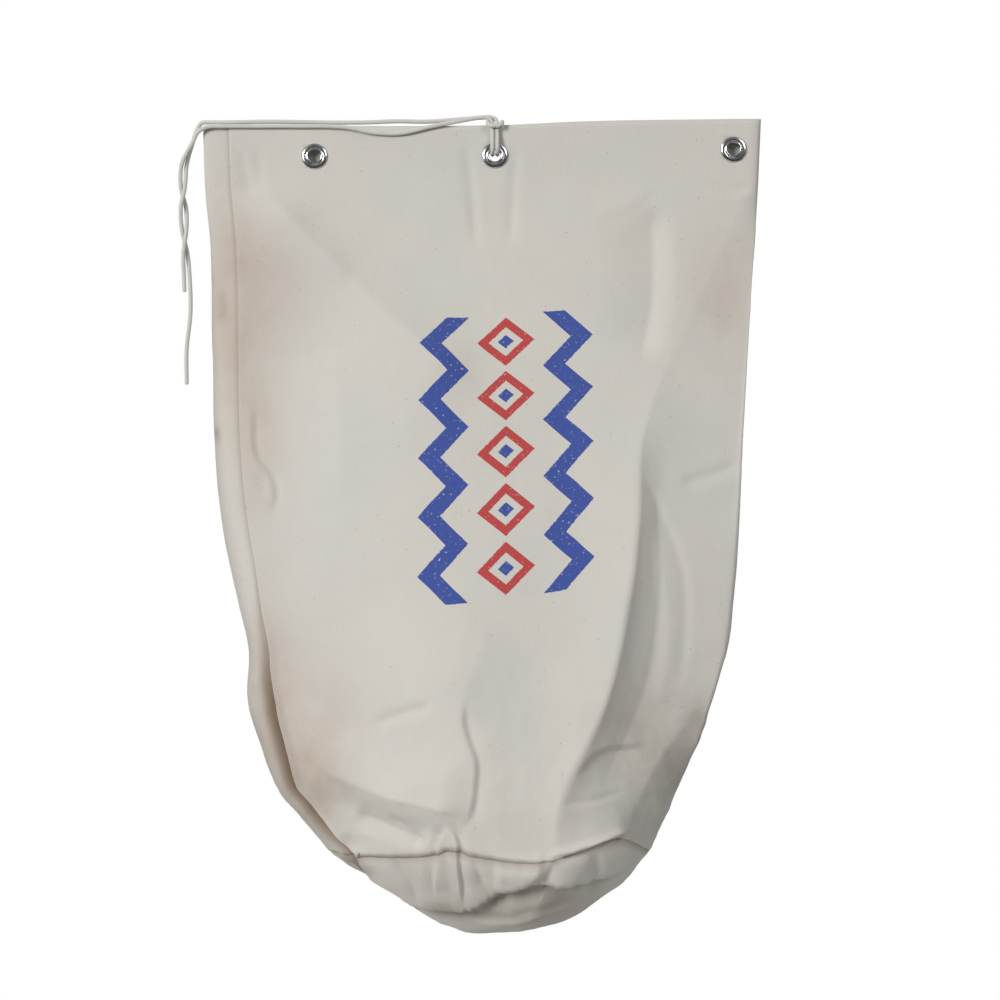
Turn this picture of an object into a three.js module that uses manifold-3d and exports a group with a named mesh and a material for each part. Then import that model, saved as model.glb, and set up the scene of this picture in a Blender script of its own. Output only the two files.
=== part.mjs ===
// Canvas duffel bag with a drawcord, hung up by its mouth.
// Millimetres, +Z up. The origin is the middle of the mouth's top edge, where the bag hangs.
// The front of the bag faces -Y, and its left side lies towards -X.
import * as THREE from 'three';
import { mergeVertices } from 'three/addons/utils/BufferGeometryUtils.js';
import Module from 'manifold-3d';

const wasm = await Module();
wasm.setup();

// Driving dimensions of the canvas
const MOUTH_WIDTH = 610;
const MOUTH_HALF_DEPTH = 6.2;
const CANVAS_WALL = 1.6;
const BAND_DROP = 60;
const SEAM_DROP = 794;
const BOTTOM_DROP = 884;
const SIDE_SEAM_INSET = 27;
const LAP_STEP = 1.6;
const LAP_RUN = 1.2;
const BASE_SEAM_TUCK = 2;
const SEAM_GAP = 0.5;

// Driving dimensions of the eyelets and the cord
const EYELET_RADIUS = 14;
const EYELET_HOLE_RADIUS = 6.7;
const CANVAS_HOLE_RADIUS = 8.3;
const EYELET_SIDES = 16;
const CORD_DIAMETER = 4.8;
const CORD_SIDES = 8;
const CORD_STEPS = 52;

// How finely the canvas is divided
const BODY_ROWS = 24;
const ROW_GRADING = 1.6;
const BASE_RINGS = [0.96, 0.86, 0.7, 0.5, 0.3, 0.12];
const COLUMNS = { strip: 5, front: 28, ridgeCorner: 9, backCorner: 5, back: 8 };

// Cross-sections of the bag by their drop below the mouth. The front is a flat face from the side seam to
// the ridge; seam, ridge and back are depths from the middle, ridgeIn and backIn lie inside the side edges.
const HALF_WIDTH = MOUTH_WIDTH / 2;
const FLAT_BAND = {
  seam: MOUTH_HALF_DEPTH,
  ridge: MOUTH_HALF_DEPTH,
  back: MOUTH_HALF_DEPTH,
  ridgeIn: 12,
  backIn: 14,
};
const SECTIONS = [
  { drop: 0, left: -HALF_WIDTH, right: HALF_WIDTH, ...FLAT_BAND },
  { drop: BAND_DROP, left: -303, right: 302, ...FLAT_BAND },
  { drop: 138, left: -297, right: 297, seam: 12, ridge: 16, back: 13, ridgeIn: 34, backIn: 26 },
  { drop: 247, left: -295, right: 290, seam: 27, ridge: 37, back: 31, ridgeIn: 82, backIn: 60 },
  { drop: 356, left: -292, right: 284, seam: 44, ridge: 62, back: 54, ridgeIn: 116, backIn: 96 },
  { drop: 438, left: -282, right: 279, seam: 58, ridge: 81, back: 74, ridgeIn: 124, backIn: 120 },
  { drop: 520, left: -266, right: 272, seam: 71, ridge: 100, back: 96, ridgeIn: 129, backIn: 138 },
  { drop: 575, left: -258, right: 265, seam: 79, ridge: 112, back: 111, ridgeIn: 131, backIn: 146 },
  { drop: 630, left: -257, right: 251, seam: 86, ridge: 124, back: 126, ridgeIn: 134, backIn: 150 },
  { drop: 684, left: -242, right: 234, seam: 92, ridge: 134, back: 140, ridgeIn: 130, backIn: 150 },
  { drop: 739, left: -216, right: 211, seam: 97, ridge: 143, back: 151, ridgeIn: 118, backIn: 140 },
  { drop: SEAM_DROP, left: -170, right: 187, seam: 98, ridge: 146, back: 156, ridgeIn: 106, backIn: 125 },
];

// Height of the mouth's edge along the bag: it climbs a little towards the right
const MOUTH_EDGE = [
  { x: -HALF_WIDTH, height: -2 },
  { x: 20, height: -2 },
  { x: 110, height: 2 },
  { x: HALF_WIDTH, height: 5 },
];

// Drop of the base seam across the front, pinched up beside the middle, and round the back
const FRONT_SEAM = [
  { x: -172, drop: 791 },
  { x: -146, drop: 786 },
  { x: -62, drop: 778 },
  { x: -31, drop: 762 },
  { x: -9, drop: 775 },
  { x: 77, drop: 786 },
  { x: 152, drop: 768 },
  { x: 189, drop: 794 },
];
const BACK_SEAM_DROP = 792;
const SEAM_FOLLOW_FROM = 690;

// The base's bowl: its lowest point, and how full it is towards each side
const BASE_CENTRE = { x: 0, y: 4 };
const BOWL_POWER = { left: 1.45, right: 2.55, front: 3.2, back: 2.2 };

// Folds of the canvas. Each runs between two points given by x and drop, and fades out over its reach.
// A positive height stands out.
const FOLDS = [
  { name: 'belly', side: 'front', x1: -70, drop1: 330, x2: -40, drop2: 700, reach: 170, height: 12 },
  { name: 'low belly', side: 'front', x1: -65, drop1: 640, x2: -45, drop2: 800, reach: 140, height: 14 },
  { name: 'left diagonal', side: 'front', x1: -247, drop1: 90, x2: -12, drop2: 294, reach: 26, height: -5 },
  { name: 'right hollow', side: 'front', x1: 172, drop1: 105, x2: 143, drop2: 255, reach: 34, height: -7 },
  { name: 'upper ridge', side: 'front', x1: 168, drop1: 337, x2: 141, drop2: 537, reach: 30, height: 6 },
  { name: 'lower ridge', side: 'front', x1: 141, drop1: 537, x2: 84, drop2: 770, reach: 26, height: 7 },
  { name: 'side crease', side: 'front', x1: 174, drop1: 347, x2: 212, drop2: 572, reach: 24, height: -6 },
  { name: 'middle crease', side: 'front', x1: 8, drop1: 540, x2: 12, drop2: 765, reach: 15, height: -6 },
  { name: 'left crumple', side: 'front', x1: -106, drop1: 641, x2: -53, drop2: 625, reach: 16, height: 4 },
  { name: 'left tuck', side: 'front', x1: -160, drop1: 700, x2: -22, drop2: 734, reach: 20, height: -7 },
  { name: 'left hollow', side: 'front', x1: -115, drop1: 756, x2: -78, drop2: 754, reach: 28, height: -8 },
  { name: 'seam groove', side: 'front', x1: -238, drop1: 612, x2: -158, drop2: 777, reach: 15, height: -6 },
  { name: 'right tuck', side: 'front', x1: 114, drop1: 673, x2: 185, drop2: 655, reach: 18, height: -6 },
  { name: 'right roll', side: 'front', x1: 87, drop1: 729, x2: 150, drop2: 721, reach: 18, height: 6 },
  { name: 'seam lip', side: 'front', x1: 84, drop1: 780, x2: 148, drop2: 764, reach: 14, height: 6 },
  { name: 'pinch ridge', side: 'front', x1: -31, drop1: 752, x2: -36, drop2: 822, reach: 20, height: 7 },
  { name: 'pinch valley', side: 'front', x1: -9, drop1: 768, x2: -4, drop2: 830, reach: 12, height: -8 },
  { name: 'base ridge', side: 'front', x1: 72, drop1: 826, x2: 125, drop2: 806, reach: 18, height: 6 },
  { name: 'back left fold', side: 'back', x1: -150, drop1: 330, x2: -95, drop2: 760, reach: 46, height: 8 },
  { name: 'back middle fold', side: 'back', x1: 20, drop1: 420, x2: 5, drop2: 800, reach: 34, height: -9 },
  { name: 'back right fold', side: 'back', x1: 170, drop1: 300, x2: 115, drop2: 760, reach: 46, height: 8 },
];

// Eyelets in the flat band below the mouth
const EYELETS = [
  { name: 'eyelet_front_left', side: 'front', x: -182.6, drop: 36 },
  { name: 'eyelet_front_middle', side: 'front', x: 14.2, drop: 35 },
  { name: 'eyelet_front_right', side: 'front', x: 274.4, drop: 28.4 },
  { name: 'eyelet_back_left', side: 'back', x: -207, drop: 36 },
  { name: 'eyelet_back_middle', side: 'back', x: 14.2, drop: 35 },
  { name: 'eyelet_back_right', side: 'back', x: 144, drop: 32 },
];

// Half of an eyelet's section, as radius and height over the middle of the canvas wall
const EYELET_PROFILE = [
  { radius: 8, height: 1.1 },
  { radius: 13.7, height: 1.1 },
  { radius: EYELET_RADIUS, height: 1.7 },
  { radius: 12.4, height: 2.9 },
  { radius: 9.6, height: 3.2 },
  { radius: 7.2, height: 2.5 },
  { radius: EYELET_HOLE_RADIUS, height: 1.2 },
  { radius: EYELET_HOLE_RADIUS, height: -2.2 },
  { radius: 12.8, height: -2.2 },
  { radius: 13.4, height: -1.1 },
  { radius: 8, height: -1.1 },
];

// Routes of the cord's two halves, as x, y and z, from the middle of the loop in front of the mouth's edge:
// over the edge, down the back, through both middle eyelets, up under the loop, left along the edge,
// over the left corner and down. Below the corner the two halves twist round each other.
const LONG_ROUTE = [
  [14.7, -14.4, -4], [18.4, -14.2, -3.8], [21.8, -11.8, -1.4], [22, -7.4, 1.1], [21.7, 0, 1.5],
  [21.2, 7.4, 1.1], [20.2, 10.6, -4.5], [18.4, 10.4, -12], [17, 11.8, -20], [16.8, 11.9, -27.5],
  [16.8, 8, -32], [16.8, 0, -32.3], [16.8, -8, -32], [16.8, -11.9, -27.5], [16.8, -11.2, -20],
  [16.8, -9.4, -11], [16.6, -9.3, -3], [15.2, -7.2, 3.6], [10.6, -4.8, 6.5], [2, -3.6, 6.6],
  [-27, -4.6, 4.2], [-60, -5.4, 1.8], [-92, -5.6, 2.2], [-130, -5.6, 0.9], [-172, -5.6, 0.9],
  [-232, -5.6, 1.8], [-280, -5, 1], [-296, -4, 1.2], [-306.4, -3, 0.6], [-311.4, -2.2, -7],
  [-315.2, -1.6, -18], [-322.4, -1.4, -44], [-324.2, -5.2, -70], [-328.4, -6.6, -92], [-327.6, -2.4, -116],
  [-321.8, -1.4, -142], [-319.2, -3.4, -168], [-318.2, -3.8, -206], [-322.4, -4, -247], [-322.3, -4, -285],
];
const SHORT_ROUTE = [
  [13.7, -14.4, -4], [10, -14.2, -3.8], [6.6, -11.8, -1.4], [6.4, -7.4, 1.1], [6.7, 0, 1.5],
  [7.2, 7.4, 1.1], [8.2, 10.6, -4.5], [10, 10.4, -12], [11.4, 11.8, -20], [11.6, 11.9, -27.5],
  [11.6, 8, -32], [11.6, 0, -32.3], [11.6, -8, -32], [11.6, -11.9, -27.5], [11.6, -11.2, -20],
  [11.6, -9.4, -11], [11.4, -9.4, -3], [10.2, -9.8, 2.6], [5, -9.6, 5.8], [-4, -9.4, 5.4],
  [-27, -9.9, 1.3], [-56, -9.7, -4.3], [-88, -9.2, -11.4], [-116, -9.2, -10.9], [-150, -9.2, -4.8],
  [-199, -9.2, -3.8], [-250, -9.2, -3.8], [-281, -9, -3.8], [-299, -8, -4.2], [-309.8, -7.8, -10],
  [-315, -7.4, -20], [-327.2, -6, -44], [-328.8, -1.6, -70], [-323.4, -0.6, -92], [-322.4, -5.6, -116],
  [-325.6, -6.6, -142], [-325.2, -4.6, -168], [-324.6, -4.6, -184],
];

const CANVAS_LOOK = { color: 0xc9c4b9, roughness: 0.9, metalness: 0 };
const BASE_LOOK = { color: 0xb9b1a5, roughness: 0.92, metalness: 0 };
const CHROME_LOOK = { color: 0xc6c8ca, roughness: 0.16, metalness: 1 };
const CORD_LOOK = { color: 0xe4e1da, roughness: 0.85, metalness: 0 };

// Gives a smooth function through one column of a table
function columnCurve(table, key, column) {
  const places = table.map((row) => row[key]);
  const values = table.map((row) => row[column]);
  const curve = new THREE.CubicInterpolant(places, values, 1);
  return (place) => curve.evaluate(THREE.MathUtils.clamp(place, places[0], places.at(-1)))[0];
}

const sectionAt = {};
for (const column of Object.keys(SECTIONS[0])) {
  sectionAt[column] = columnCurve(SECTIONS, 'drop', column);
}
const mouthEdgeAt = columnCurve(MOUTH_EDGE, 'x', 'height');
const frontSeamAt = columnCurve(FRONT_SEAM, 'x', 'drop');

// Points of one cross-section, from the left edge round by the front and the right edge to the back
function sectionPoints(drop) {
  const size = Object.fromEntries(Object.entries(sectionAt).map(([column, curve]) => [column, curve(drop)]));
  const point = (x, y) => new THREE.Vector2(x, y);
  const leftEdge = point(size.left, 0);
  const rightEdge = point(size.right, 0);
  const stripDepth = LAP_STEP - size.seam;
  const stripEnd = point(size.left + SIDE_SEAM_INSET - LAP_RUN, stripDepth);
  const seam = point(size.left + SIDE_SEAM_INSET, -size.seam);
  const ridge = point(size.right - size.ridgeIn, -size.ridge);
  const backRight = point(size.right - size.backIn, size.back);
  const backLeft = point(size.left + size.backIn, size.back);
  const corner = (from, along, to) => new THREE.QuadraticBezierCurve(from, along, to);
  const edges = [
    [corner(leftEdge, point(size.left, stripDepth), stripEnd), COLUMNS.strip],
    [new THREE.LineCurve(seam, ridge), COLUMNS.front],
    [corner(ridge, point(size.right, -size.ridge), rightEdge), COLUMNS.ridgeCorner],
    [corner(rightEdge, point(size.right, size.back), backRight), COLUMNS.backCorner],
    [new THREE.LineCurve(backRight, backLeft), COLUMNS.back],
    [corner(backLeft, point(size.left, size.back), leftEdge), COLUMNS.backCorner],
  ];
  const points = [];
  edges.forEach(([curve, count], index) => {
    const last = index === 0 ? count : count - 1;
    for (let step = 0; step <= last; step += 1) {
      points.push(curve.getPoint(step / count));
    }
  });
  return points;
}

// One ring of the canvas tube at a drop, with the mouth's edge and the base seam followed
function bodyRing(drop) {
  const bandShare = Math.max(0, 1 - drop / BAND_DROP);
  const seamShare = THREE.MathUtils.smoothstep(drop, SEAM_FOLLOW_FROM, SEAM_DROP);
  return sectionPoints(drop).map(({ x, y }) => {
    const seamDrop = y < 0 ? frontSeamAt(x) : BACK_SEAM_DROP;
    const z = mouthEdgeAt(x) * bandShare - drop - (seamDrop - SEAM_DROP) * seamShare;
    return new THREE.Vector3(x, y, z);
  });
}

// One ring of the base, a share of the way out from its lowest point to the seam
function baseRing(seamRing, share) {
  return seamRing.map((seam) => {
    const outward = new THREE.Vector2(seam.x - BASE_CENTRE.x, seam.y - BASE_CENTRE.y);
    const sideways = (outward.x / outward.length()) ** 2;
    const sidePower = outward.x < 0 ? BOWL_POWER.left : BOWL_POWER.right;
    const facePower = outward.y < 0 ? BOWL_POWER.front : BOWL_POWER.back;
    const power = THREE.MathUtils.lerp(facePower, sidePower, sideways);
    const edgeHeight = THREE.MathUtils.lerp(-BACK_SEAM_DROP, seam.z, share);
    const height = THREE.MathUtils.lerp(-BOTTOM_DROP, edgeHeight, share ** power);
    return new THREE.Vector3(BASE_CENTRE.x + outward.x * share, BASE_CENTRE.y + outward.y * share, height);
  });
}

// Outward normals of a stack of rings that closes in one point at the bottom
function ringNormals(rings, bottom) {
  return rings.map((ring, row) => ring.map((place, column) => {
    const above = rings[Math.max(row - 1, 0)][column];
    const below = row + 1 < rings.length ? rings[row + 1][column] : bottom;
    const before = ring.at(column - 1);
    const after = ring[(column + 1) % ring.length];
    const along = new THREE.Vector3().subVectors(after, before);
    const down = new THREE.Vector3().subVectors(below, above);
    return along.cross(down).negate().normalize();
  }));
}

// How far the folds move a point of the canvas outwards
function foldHeight(place, normal) {
  let height = 0;
  for (const fold of FOLDS) {
    const facing = fold.side === 'front' ? -normal.y : normal.y;
    const start = new THREE.Vector3(fold.x1, 0, -fold.drop1);
    const end = new THREE.Vector3(fold.x2, 0, -fold.drop2);
    const level = new THREE.Vector3(place.x, 0, place.z);
    const nearest = new THREE.Line3(start, end).closestPointToPoint(level, true, new THREE.Vector3());
    const away = Math.min(nearest.distanceTo(level) / fold.reach, 1);
    height += fold.height * Math.max(facing, 0) * Math.cos(away * Math.PI / 2) ** 2;
  }
  return height;
}

// Closed solid between an outer and an inner stack of rings, with an open top edge.
// Where bottoms are given, the stacks close in those two points, and otherwise in a rim.
function wallGeometry(outerRings, innerRings, bottoms) {
  const count = outerRings[0].length;
  const rows = outerRings.length;
  const places = [...outerRings.flat(), ...innerRings.flat()];
  const inner = rows * count;
  const faces = [];
  const quad = (a, b, c, d) => faces.push(a, b, c, a, c, d);
  for (let column = 0; column < count; column += 1) {
    const next = (column + 1) % count;
    for (let row = 0; row + 1 < rows; row += 1) {
      const here = row * count;
      const under = here + count;
      quad(here + column, under + column, under + next, here + next);
      quad(inner + here + next, inner + under + next, inner + under + column, inner + here + column);
    }
    quad(column, next, inner + next, inner + column);
    const last = (rows - 1) * count;
    if (bottoms) {
      faces.push(last + column, places.length, last + next);
      faces.push(inner + last + next, places.length + 1, inner + last + column);
    } else {
      quad(last + next, last + column, inner + last + column, inner + last + next);
    }
  }
  const all = bottoms ? [...places, ...bottoms] : places;
  const geometry = new THREE.BufferGeometry().setFromPoints(all);
  geometry.setIndex(faces);
  return geometry;
}

// Joins the shared vertices of a geometry, so that only its places are left
function mergedGeometry(geometry) {
  geometry.deleteAttribute('normal');
  geometry.deleteAttribute('uv');
  return mergeVertices(geometry, 1e-4);
}

function solidOf(geometry) {
  const merged = mergedGeometry(geometry);
  const vertProperties = new Float32Array(merged.attributes.position.array);
  const triVerts = new Uint32Array(merged.index.array);
  return new wasm.Manifold(new wasm.Mesh({ numProp: 3, vertProperties, triVerts }));
}

function geometryOf(solid) {
  const { vertProperties, triVerts } = solid.getMesh();
  const geometry = new THREE.BufferGeometry();
  geometry.setAttribute('position', new THREE.BufferAttribute(vertProperties, 3));
  geometry.setIndex(new THREE.BufferAttribute(triVerts, 1));
  return geometry;
}

// The canvas as rings from the mouth down to the base, its folds and its inner face
function canvasRings() {
  const drops = [0];
  for (let row = 0; row + 1 < BODY_ROWS; row += 1) {
    const share = 1 - (1 - row / (BODY_ROWS - 2)) ** ROW_GRADING;
    drops.push(BAND_DROP + (SEAM_DROP - BAND_DROP) * share);
  }
  const plain = drops.map(bodyRing);
  const plainSeam = plain.at(-1);
  plain.push(...BASE_RINGS.map((share) => baseRing(plainSeam, share)));
  const bottom = new THREE.Vector3(BASE_CENTRE.x, BASE_CENTRE.y, -BOTTOM_DROP);
  const plainNormals = ringNormals(plain, bottom);
  const seamRow = drops.length - 1;
  const outer = plain.map((ring, row) => ring.map((place, column) => {
    const normal = plainNormals[row][column];
    const tuck = row === seamRow ? BASE_SEAM_TUCK : 0;
    return place.clone().addScaledVector(normal, foldHeight(place, normal) - tuck);
  }));
  const normals = ringNormals(outer, bottom);
  const inner = outer.map((ring, row) => ring.map(
    (place, column) => place.clone().addScaledVector(normals[row][column], -CANVAS_WALL),
  ));
  return { outer, inner, seamRow, bottom };
}

const wallMiddle = MOUTH_HALF_DEPTH - CANVAS_WALL / 2;
const sideSign = { front: -1, back: 1 };

function bodyGeometry(rings) {
  const rows = rings.seamRow + 1;
  let body = solidOf(wallGeometry(rings.outer.slice(0, rows), rings.inner.slice(0, rows)));
  for (const { side, x, drop } of EYELETS) {
    const depth = CANVAS_WALL * 3;
    const cutter = new THREE.CylinderGeometry(CANVAS_HOLE_RADIUS, CANVAS_HOLE_RADIUS, depth, EYELET_SIDES);
    cutter.translate(x, sideSign[side] * wallMiddle, -drop);
    body = body.subtract(solidOf(cutter));
  }
  return geometryOf(body);
}

function baseGeometry(rings) {
  const below = (place) => place.clone().add(new THREE.Vector3(0, 0, -SEAM_GAP));
  const outer = rings.outer.slice(rings.seamRow).map((ring) => ring.map(below));
  const inner = rings.inner.slice(rings.seamRow).map((ring) => ring.map(below));
  const outerBottom = below(rings.bottom);
  const innerBottom = outerBottom.clone().add(new THREE.Vector3(0, 0, CANVAS_WALL));
  return wallGeometry(outer, inner, [outerBottom, innerBottom]);
}

function eyeletGeometry() {
  const profile = EYELET_PROFILE.map(({ radius, height }) => new THREE.Vector2(radius, height));
  return mergedGeometry(new THREE.LatheGeometry([...profile, profile[0]], EYELET_SIDES));
}

// A curve whose steps are shared out between its points, so that close points give short steps
class CordCurve extends THREE.CatmullRomCurve3 {
  getSpacedPoints(divisions) {
    return this.getPoints(divisions);
  }

  getTangentAt(share, target) {
    return this.getTangent(share, target);
  }
}

function cordGeometry(route) {
  const section = new THREE.Shape();
  section.absarc(0, 0, CORD_DIAMETER / 2, 0, Math.PI * 2);
  const path = new CordCurve(route.map(([x, y, z]) => new THREE.Vector3(x, y, z)));
  const tube = new THREE.ExtrudeGeometry(section, {
    steps: CORD_STEPS,
    curveSegments: CORD_SIDES / 2,
    extrudePath: path,
  });
  return mergedGeometry(tube);
}

function namedMesh(name, geometry, look) {
  geometry.computeVertexNormals();
  const mesh = new THREE.Mesh(geometry, new THREE.MeshStandardMaterial(look));
  mesh.name = name;
  return mesh;
}

const bag = new THREE.Group();
const canvas = canvasRings();
bag.add(namedMesh('canvas_body', bodyGeometry(canvas), CANVAS_LOOK));
bag.add(namedMesh('canvas_base', baseGeometry(canvas), BASE_LOOK));
for (const { name, side, x, drop } of EYELETS) {
  const eyelet = namedMesh(name, eyeletGeometry(), CHROME_LOOK);
  eyelet.position.set(x, sideSign[side] * wallMiddle, -drop);
  eyelet.rotation.x = side === 'front' ? Math.PI : 0;
  bag.add(eyelet);
}
bag.add(namedMesh('cord_long', cordGeometry(LONG_ROUTE), CORD_LOOK));
bag.add(namedMesh('cord_short', cordGeometry(SHORT_ROUTE), CORD_LOOK));

export default bag;
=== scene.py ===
"""Looks of a canvas duffel bag that hangs by its mouth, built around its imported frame."""

import functools
import math
from typing import NamedTuple

import bpy
import numpy as np
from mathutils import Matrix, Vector, noise


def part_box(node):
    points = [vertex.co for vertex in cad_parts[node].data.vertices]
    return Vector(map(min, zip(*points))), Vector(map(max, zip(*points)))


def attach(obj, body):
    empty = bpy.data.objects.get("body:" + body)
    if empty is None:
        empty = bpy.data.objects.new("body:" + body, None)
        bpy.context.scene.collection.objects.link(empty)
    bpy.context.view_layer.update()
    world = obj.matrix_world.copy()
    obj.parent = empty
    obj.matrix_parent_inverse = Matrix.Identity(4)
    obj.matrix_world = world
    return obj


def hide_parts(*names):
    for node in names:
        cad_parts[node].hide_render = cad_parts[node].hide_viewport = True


bl_info = {
    "name": "Canvas Duffel Bag",
    "version": (1, 0, 0),
    "blender": (4, 5, 0),
    "location": "View3D > Sidebar > Duffel Bag",
    "description": "Dresses the packed frame of a canvas duffel bag in cloth, cord and chrome",
    "category": "Object",
}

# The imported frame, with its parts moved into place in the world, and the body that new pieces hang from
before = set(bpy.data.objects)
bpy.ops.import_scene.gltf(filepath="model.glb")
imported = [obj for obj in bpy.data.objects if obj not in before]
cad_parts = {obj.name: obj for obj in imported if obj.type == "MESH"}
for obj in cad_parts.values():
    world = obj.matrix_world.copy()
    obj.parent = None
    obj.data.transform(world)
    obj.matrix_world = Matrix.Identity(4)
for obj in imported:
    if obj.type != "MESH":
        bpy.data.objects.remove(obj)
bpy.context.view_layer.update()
BODY = "root"

# The tables below are in millimetres, and Blender's objects are in metres
MM = 0.001

# The view: how far the camera stands before the mouth, what it takes in there, and the middle of its picture
VIEW_DISTANCE = 2800.0
VIEW_WIDTH = 1093.2
VIEW_X = 19.7
VIEW_DROP = 411.0

# Driving dimensions of the canvas
MOUTH_HALF_DEPTH = 6.2
BAND_DROP = 60.0
SEAM_DROP = 794.0
BACK_SEAM_DROP = 792.0
BOTTOM_DROP = 877.0
PANEL_MIDDLE = 30.0

# The lapped side seam, and the drops over which its rib and groove come and go low down
SIDE_SEAM_INSET = 31.0
LAP_STEP = 2.2
LAP_RUN = 1.2
RELIEF_FROM = (470.0, 640.0)
RELIEF_TO = (790.0, 830.0)
RELIEF_POWER = 1.3
GROOVE_DEPTH = 15.0
GROOVE_REACH = 22.0
RIB_HEIGHT = 3.5
RIB_REACH = 9.0

# The base seam: the drop from which the tube follows it, the half depth over which its front run turns into
# the back one, its tuck, the base's gap to the body, and how far the base stands up inside the body
SEAM_FOLLOW_FROM = 690.0
SEAM_TURN = 25.0
SEAM_TUCK = 1.1
SEAM_TUCK_REACH = 2.2
SEAM_GAP = 0.4
ALLOWANCE_LIFTS = (6.0, 3.0)

# Puckers along the base seam. The lengths of their waves are those of one radian.
PUCKER_HEIGHT = 0.28
PUCKER_REACH = 5.0
PUCKER_LENGTH = 2.1
PUCKER_DRIFT = 2.2
PUCKER_DRIFT_LENGTH = 17.0
SECOND_PUCKER = 0.6
SECOND_PUCKER_LENGTH = 3.4

# Painted shade and grime in the seams, as strength and reach: all down the side seam, low down beside it, and
# in the base seam
SIDE_SHADE_AND_GRIME = (0.4, 1.3)
LOW_SHADE_AND_GRIME = (0.85, 15.0)
LOW_SHADE_AND_GRIME_FROM = (520.0, 660.0)
BASE_SHADE_AND_GRIME = (0.5, 0.8)

# How finely the canvas is divided, with columns close together at the lap and round the eyelets' holes
BODY_ROWS = 200
ROW_GRADING = 0.3
BASE_RINGS = 42
COLUMNS = {"front": 130, "ridge": 36, "back_corner": 12, "back": 20, "strip": 11}
FRONT_LAP_SHARE = 0.0025
STRIP_LAP_SHARES = (0.985, 1.0)
STRIP_COLUMNS = COLUMNS["strip"] + len(STRIP_LAP_SHARES)
EYELET_COLUMNS = np.arange(-12, 13, 4)

# Cross-sections by their drop below the mouth: left, right, seam, ridge, edge, back, ridge_in and back_in.
# The front is a flat face from the side seam to the ridge. Seam, ridge, edge and back are depths from the
# middle, and ridge_in and back_in lie inside the side edges.
SECTIONS = np.array([
    (0, -305, 305, MOUTH_HALF_DEPTH, MOUTH_HALF_DEPTH, 0, MOUTH_HALF_DEPTH, 12, 14),
    (BAND_DROP, -303, 302, MOUTH_HALF_DEPTH, MOUTH_HALF_DEPTH, 0, MOUTH_HALF_DEPTH, 12, 14),
    (138, -297, 296, 12, 16, 12, 13, 34, 26),
    (247, -295, 289, 27, 37, 31, 31, 81, 60),
    (356, -292, 282, 44, 62, 45, 54, 112, 96),
    (438, -282, 276, 58, 81, 55, 74, 111, 120),
    (520, -266, 268, 71, 100, 62, 96, 114, 138),
    (575, -255, 260, 79, 112, 66, 111, 117, 146),
    (630, -254, 244, 86, 124, 72, 126, 117, 150),
    (684, -238, 226, 92, 134, 68, 140, 125, 150),
    (739, -210, 204, 97, 143, 48, 151, 124, 140),
    (SEAM_DROP, -165, 183, 98, 146, 20, 156, 106, 125),
], dtype=float)

# How the front runs from the ridge to the right edge, by drop: 1 bulges out, 0 is straight, less is hollow
SIDE_BOW = np.array([
    (BAND_DROP, 1), (138, 0.2), (247, -0.1), (356, -0.35), (520, -0.4), (630, -0.25), (739, 0.5),
    (SEAM_DROP, 1),
], dtype=float)

# How far the side seam wanders to the right of its inset, by drop
SEAM_SHIFT = np.array([
    (0, -1.8), (90, -1.7), (195, 0.2), (330, 1.6), (480, 1.6), (540, -1), (590, -0.6), (625, 6),
    (664, 6), (684, 4), (708, -0.3), (717, -1), (732, 4.5), (750, 6), (769, 4), (SEAM_DROP, 4.5),
], dtype=float)

# Height of the mouth's edge by x, and the base seam's drop by x across the front
MOUTH_EDGE = np.array([(-305, -2), (20, -2), (110, 2), (305, 5)], dtype=float)
FRONT_SEAM = np.array([
    (-172, 791), (-146, 786), (-62, 778), (-47, 776), (-34, 771), (-20, 771), (-8, 776), (77, 786),
    (152, 768), (189, 794),
], dtype=float)

# The base's bowl: its lowest point, and how full it is towards each side
BASE_CENTRE = (0.0, 4.0)
BOWL_POWER = {"left": 1.05, "right": 2.7, "front": 3.2, "back": 2.2}


class Fold(NamedTuple):
    """One fold: its line by x and drop as the camera sees it, and height and width on either side of it."""

    name: str
    line: tuple
    left: tuple
    right: tuple
    edge: float = 4.0
    taper: float = 0.2
    side: str = "front"
    round: bool = False


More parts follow.
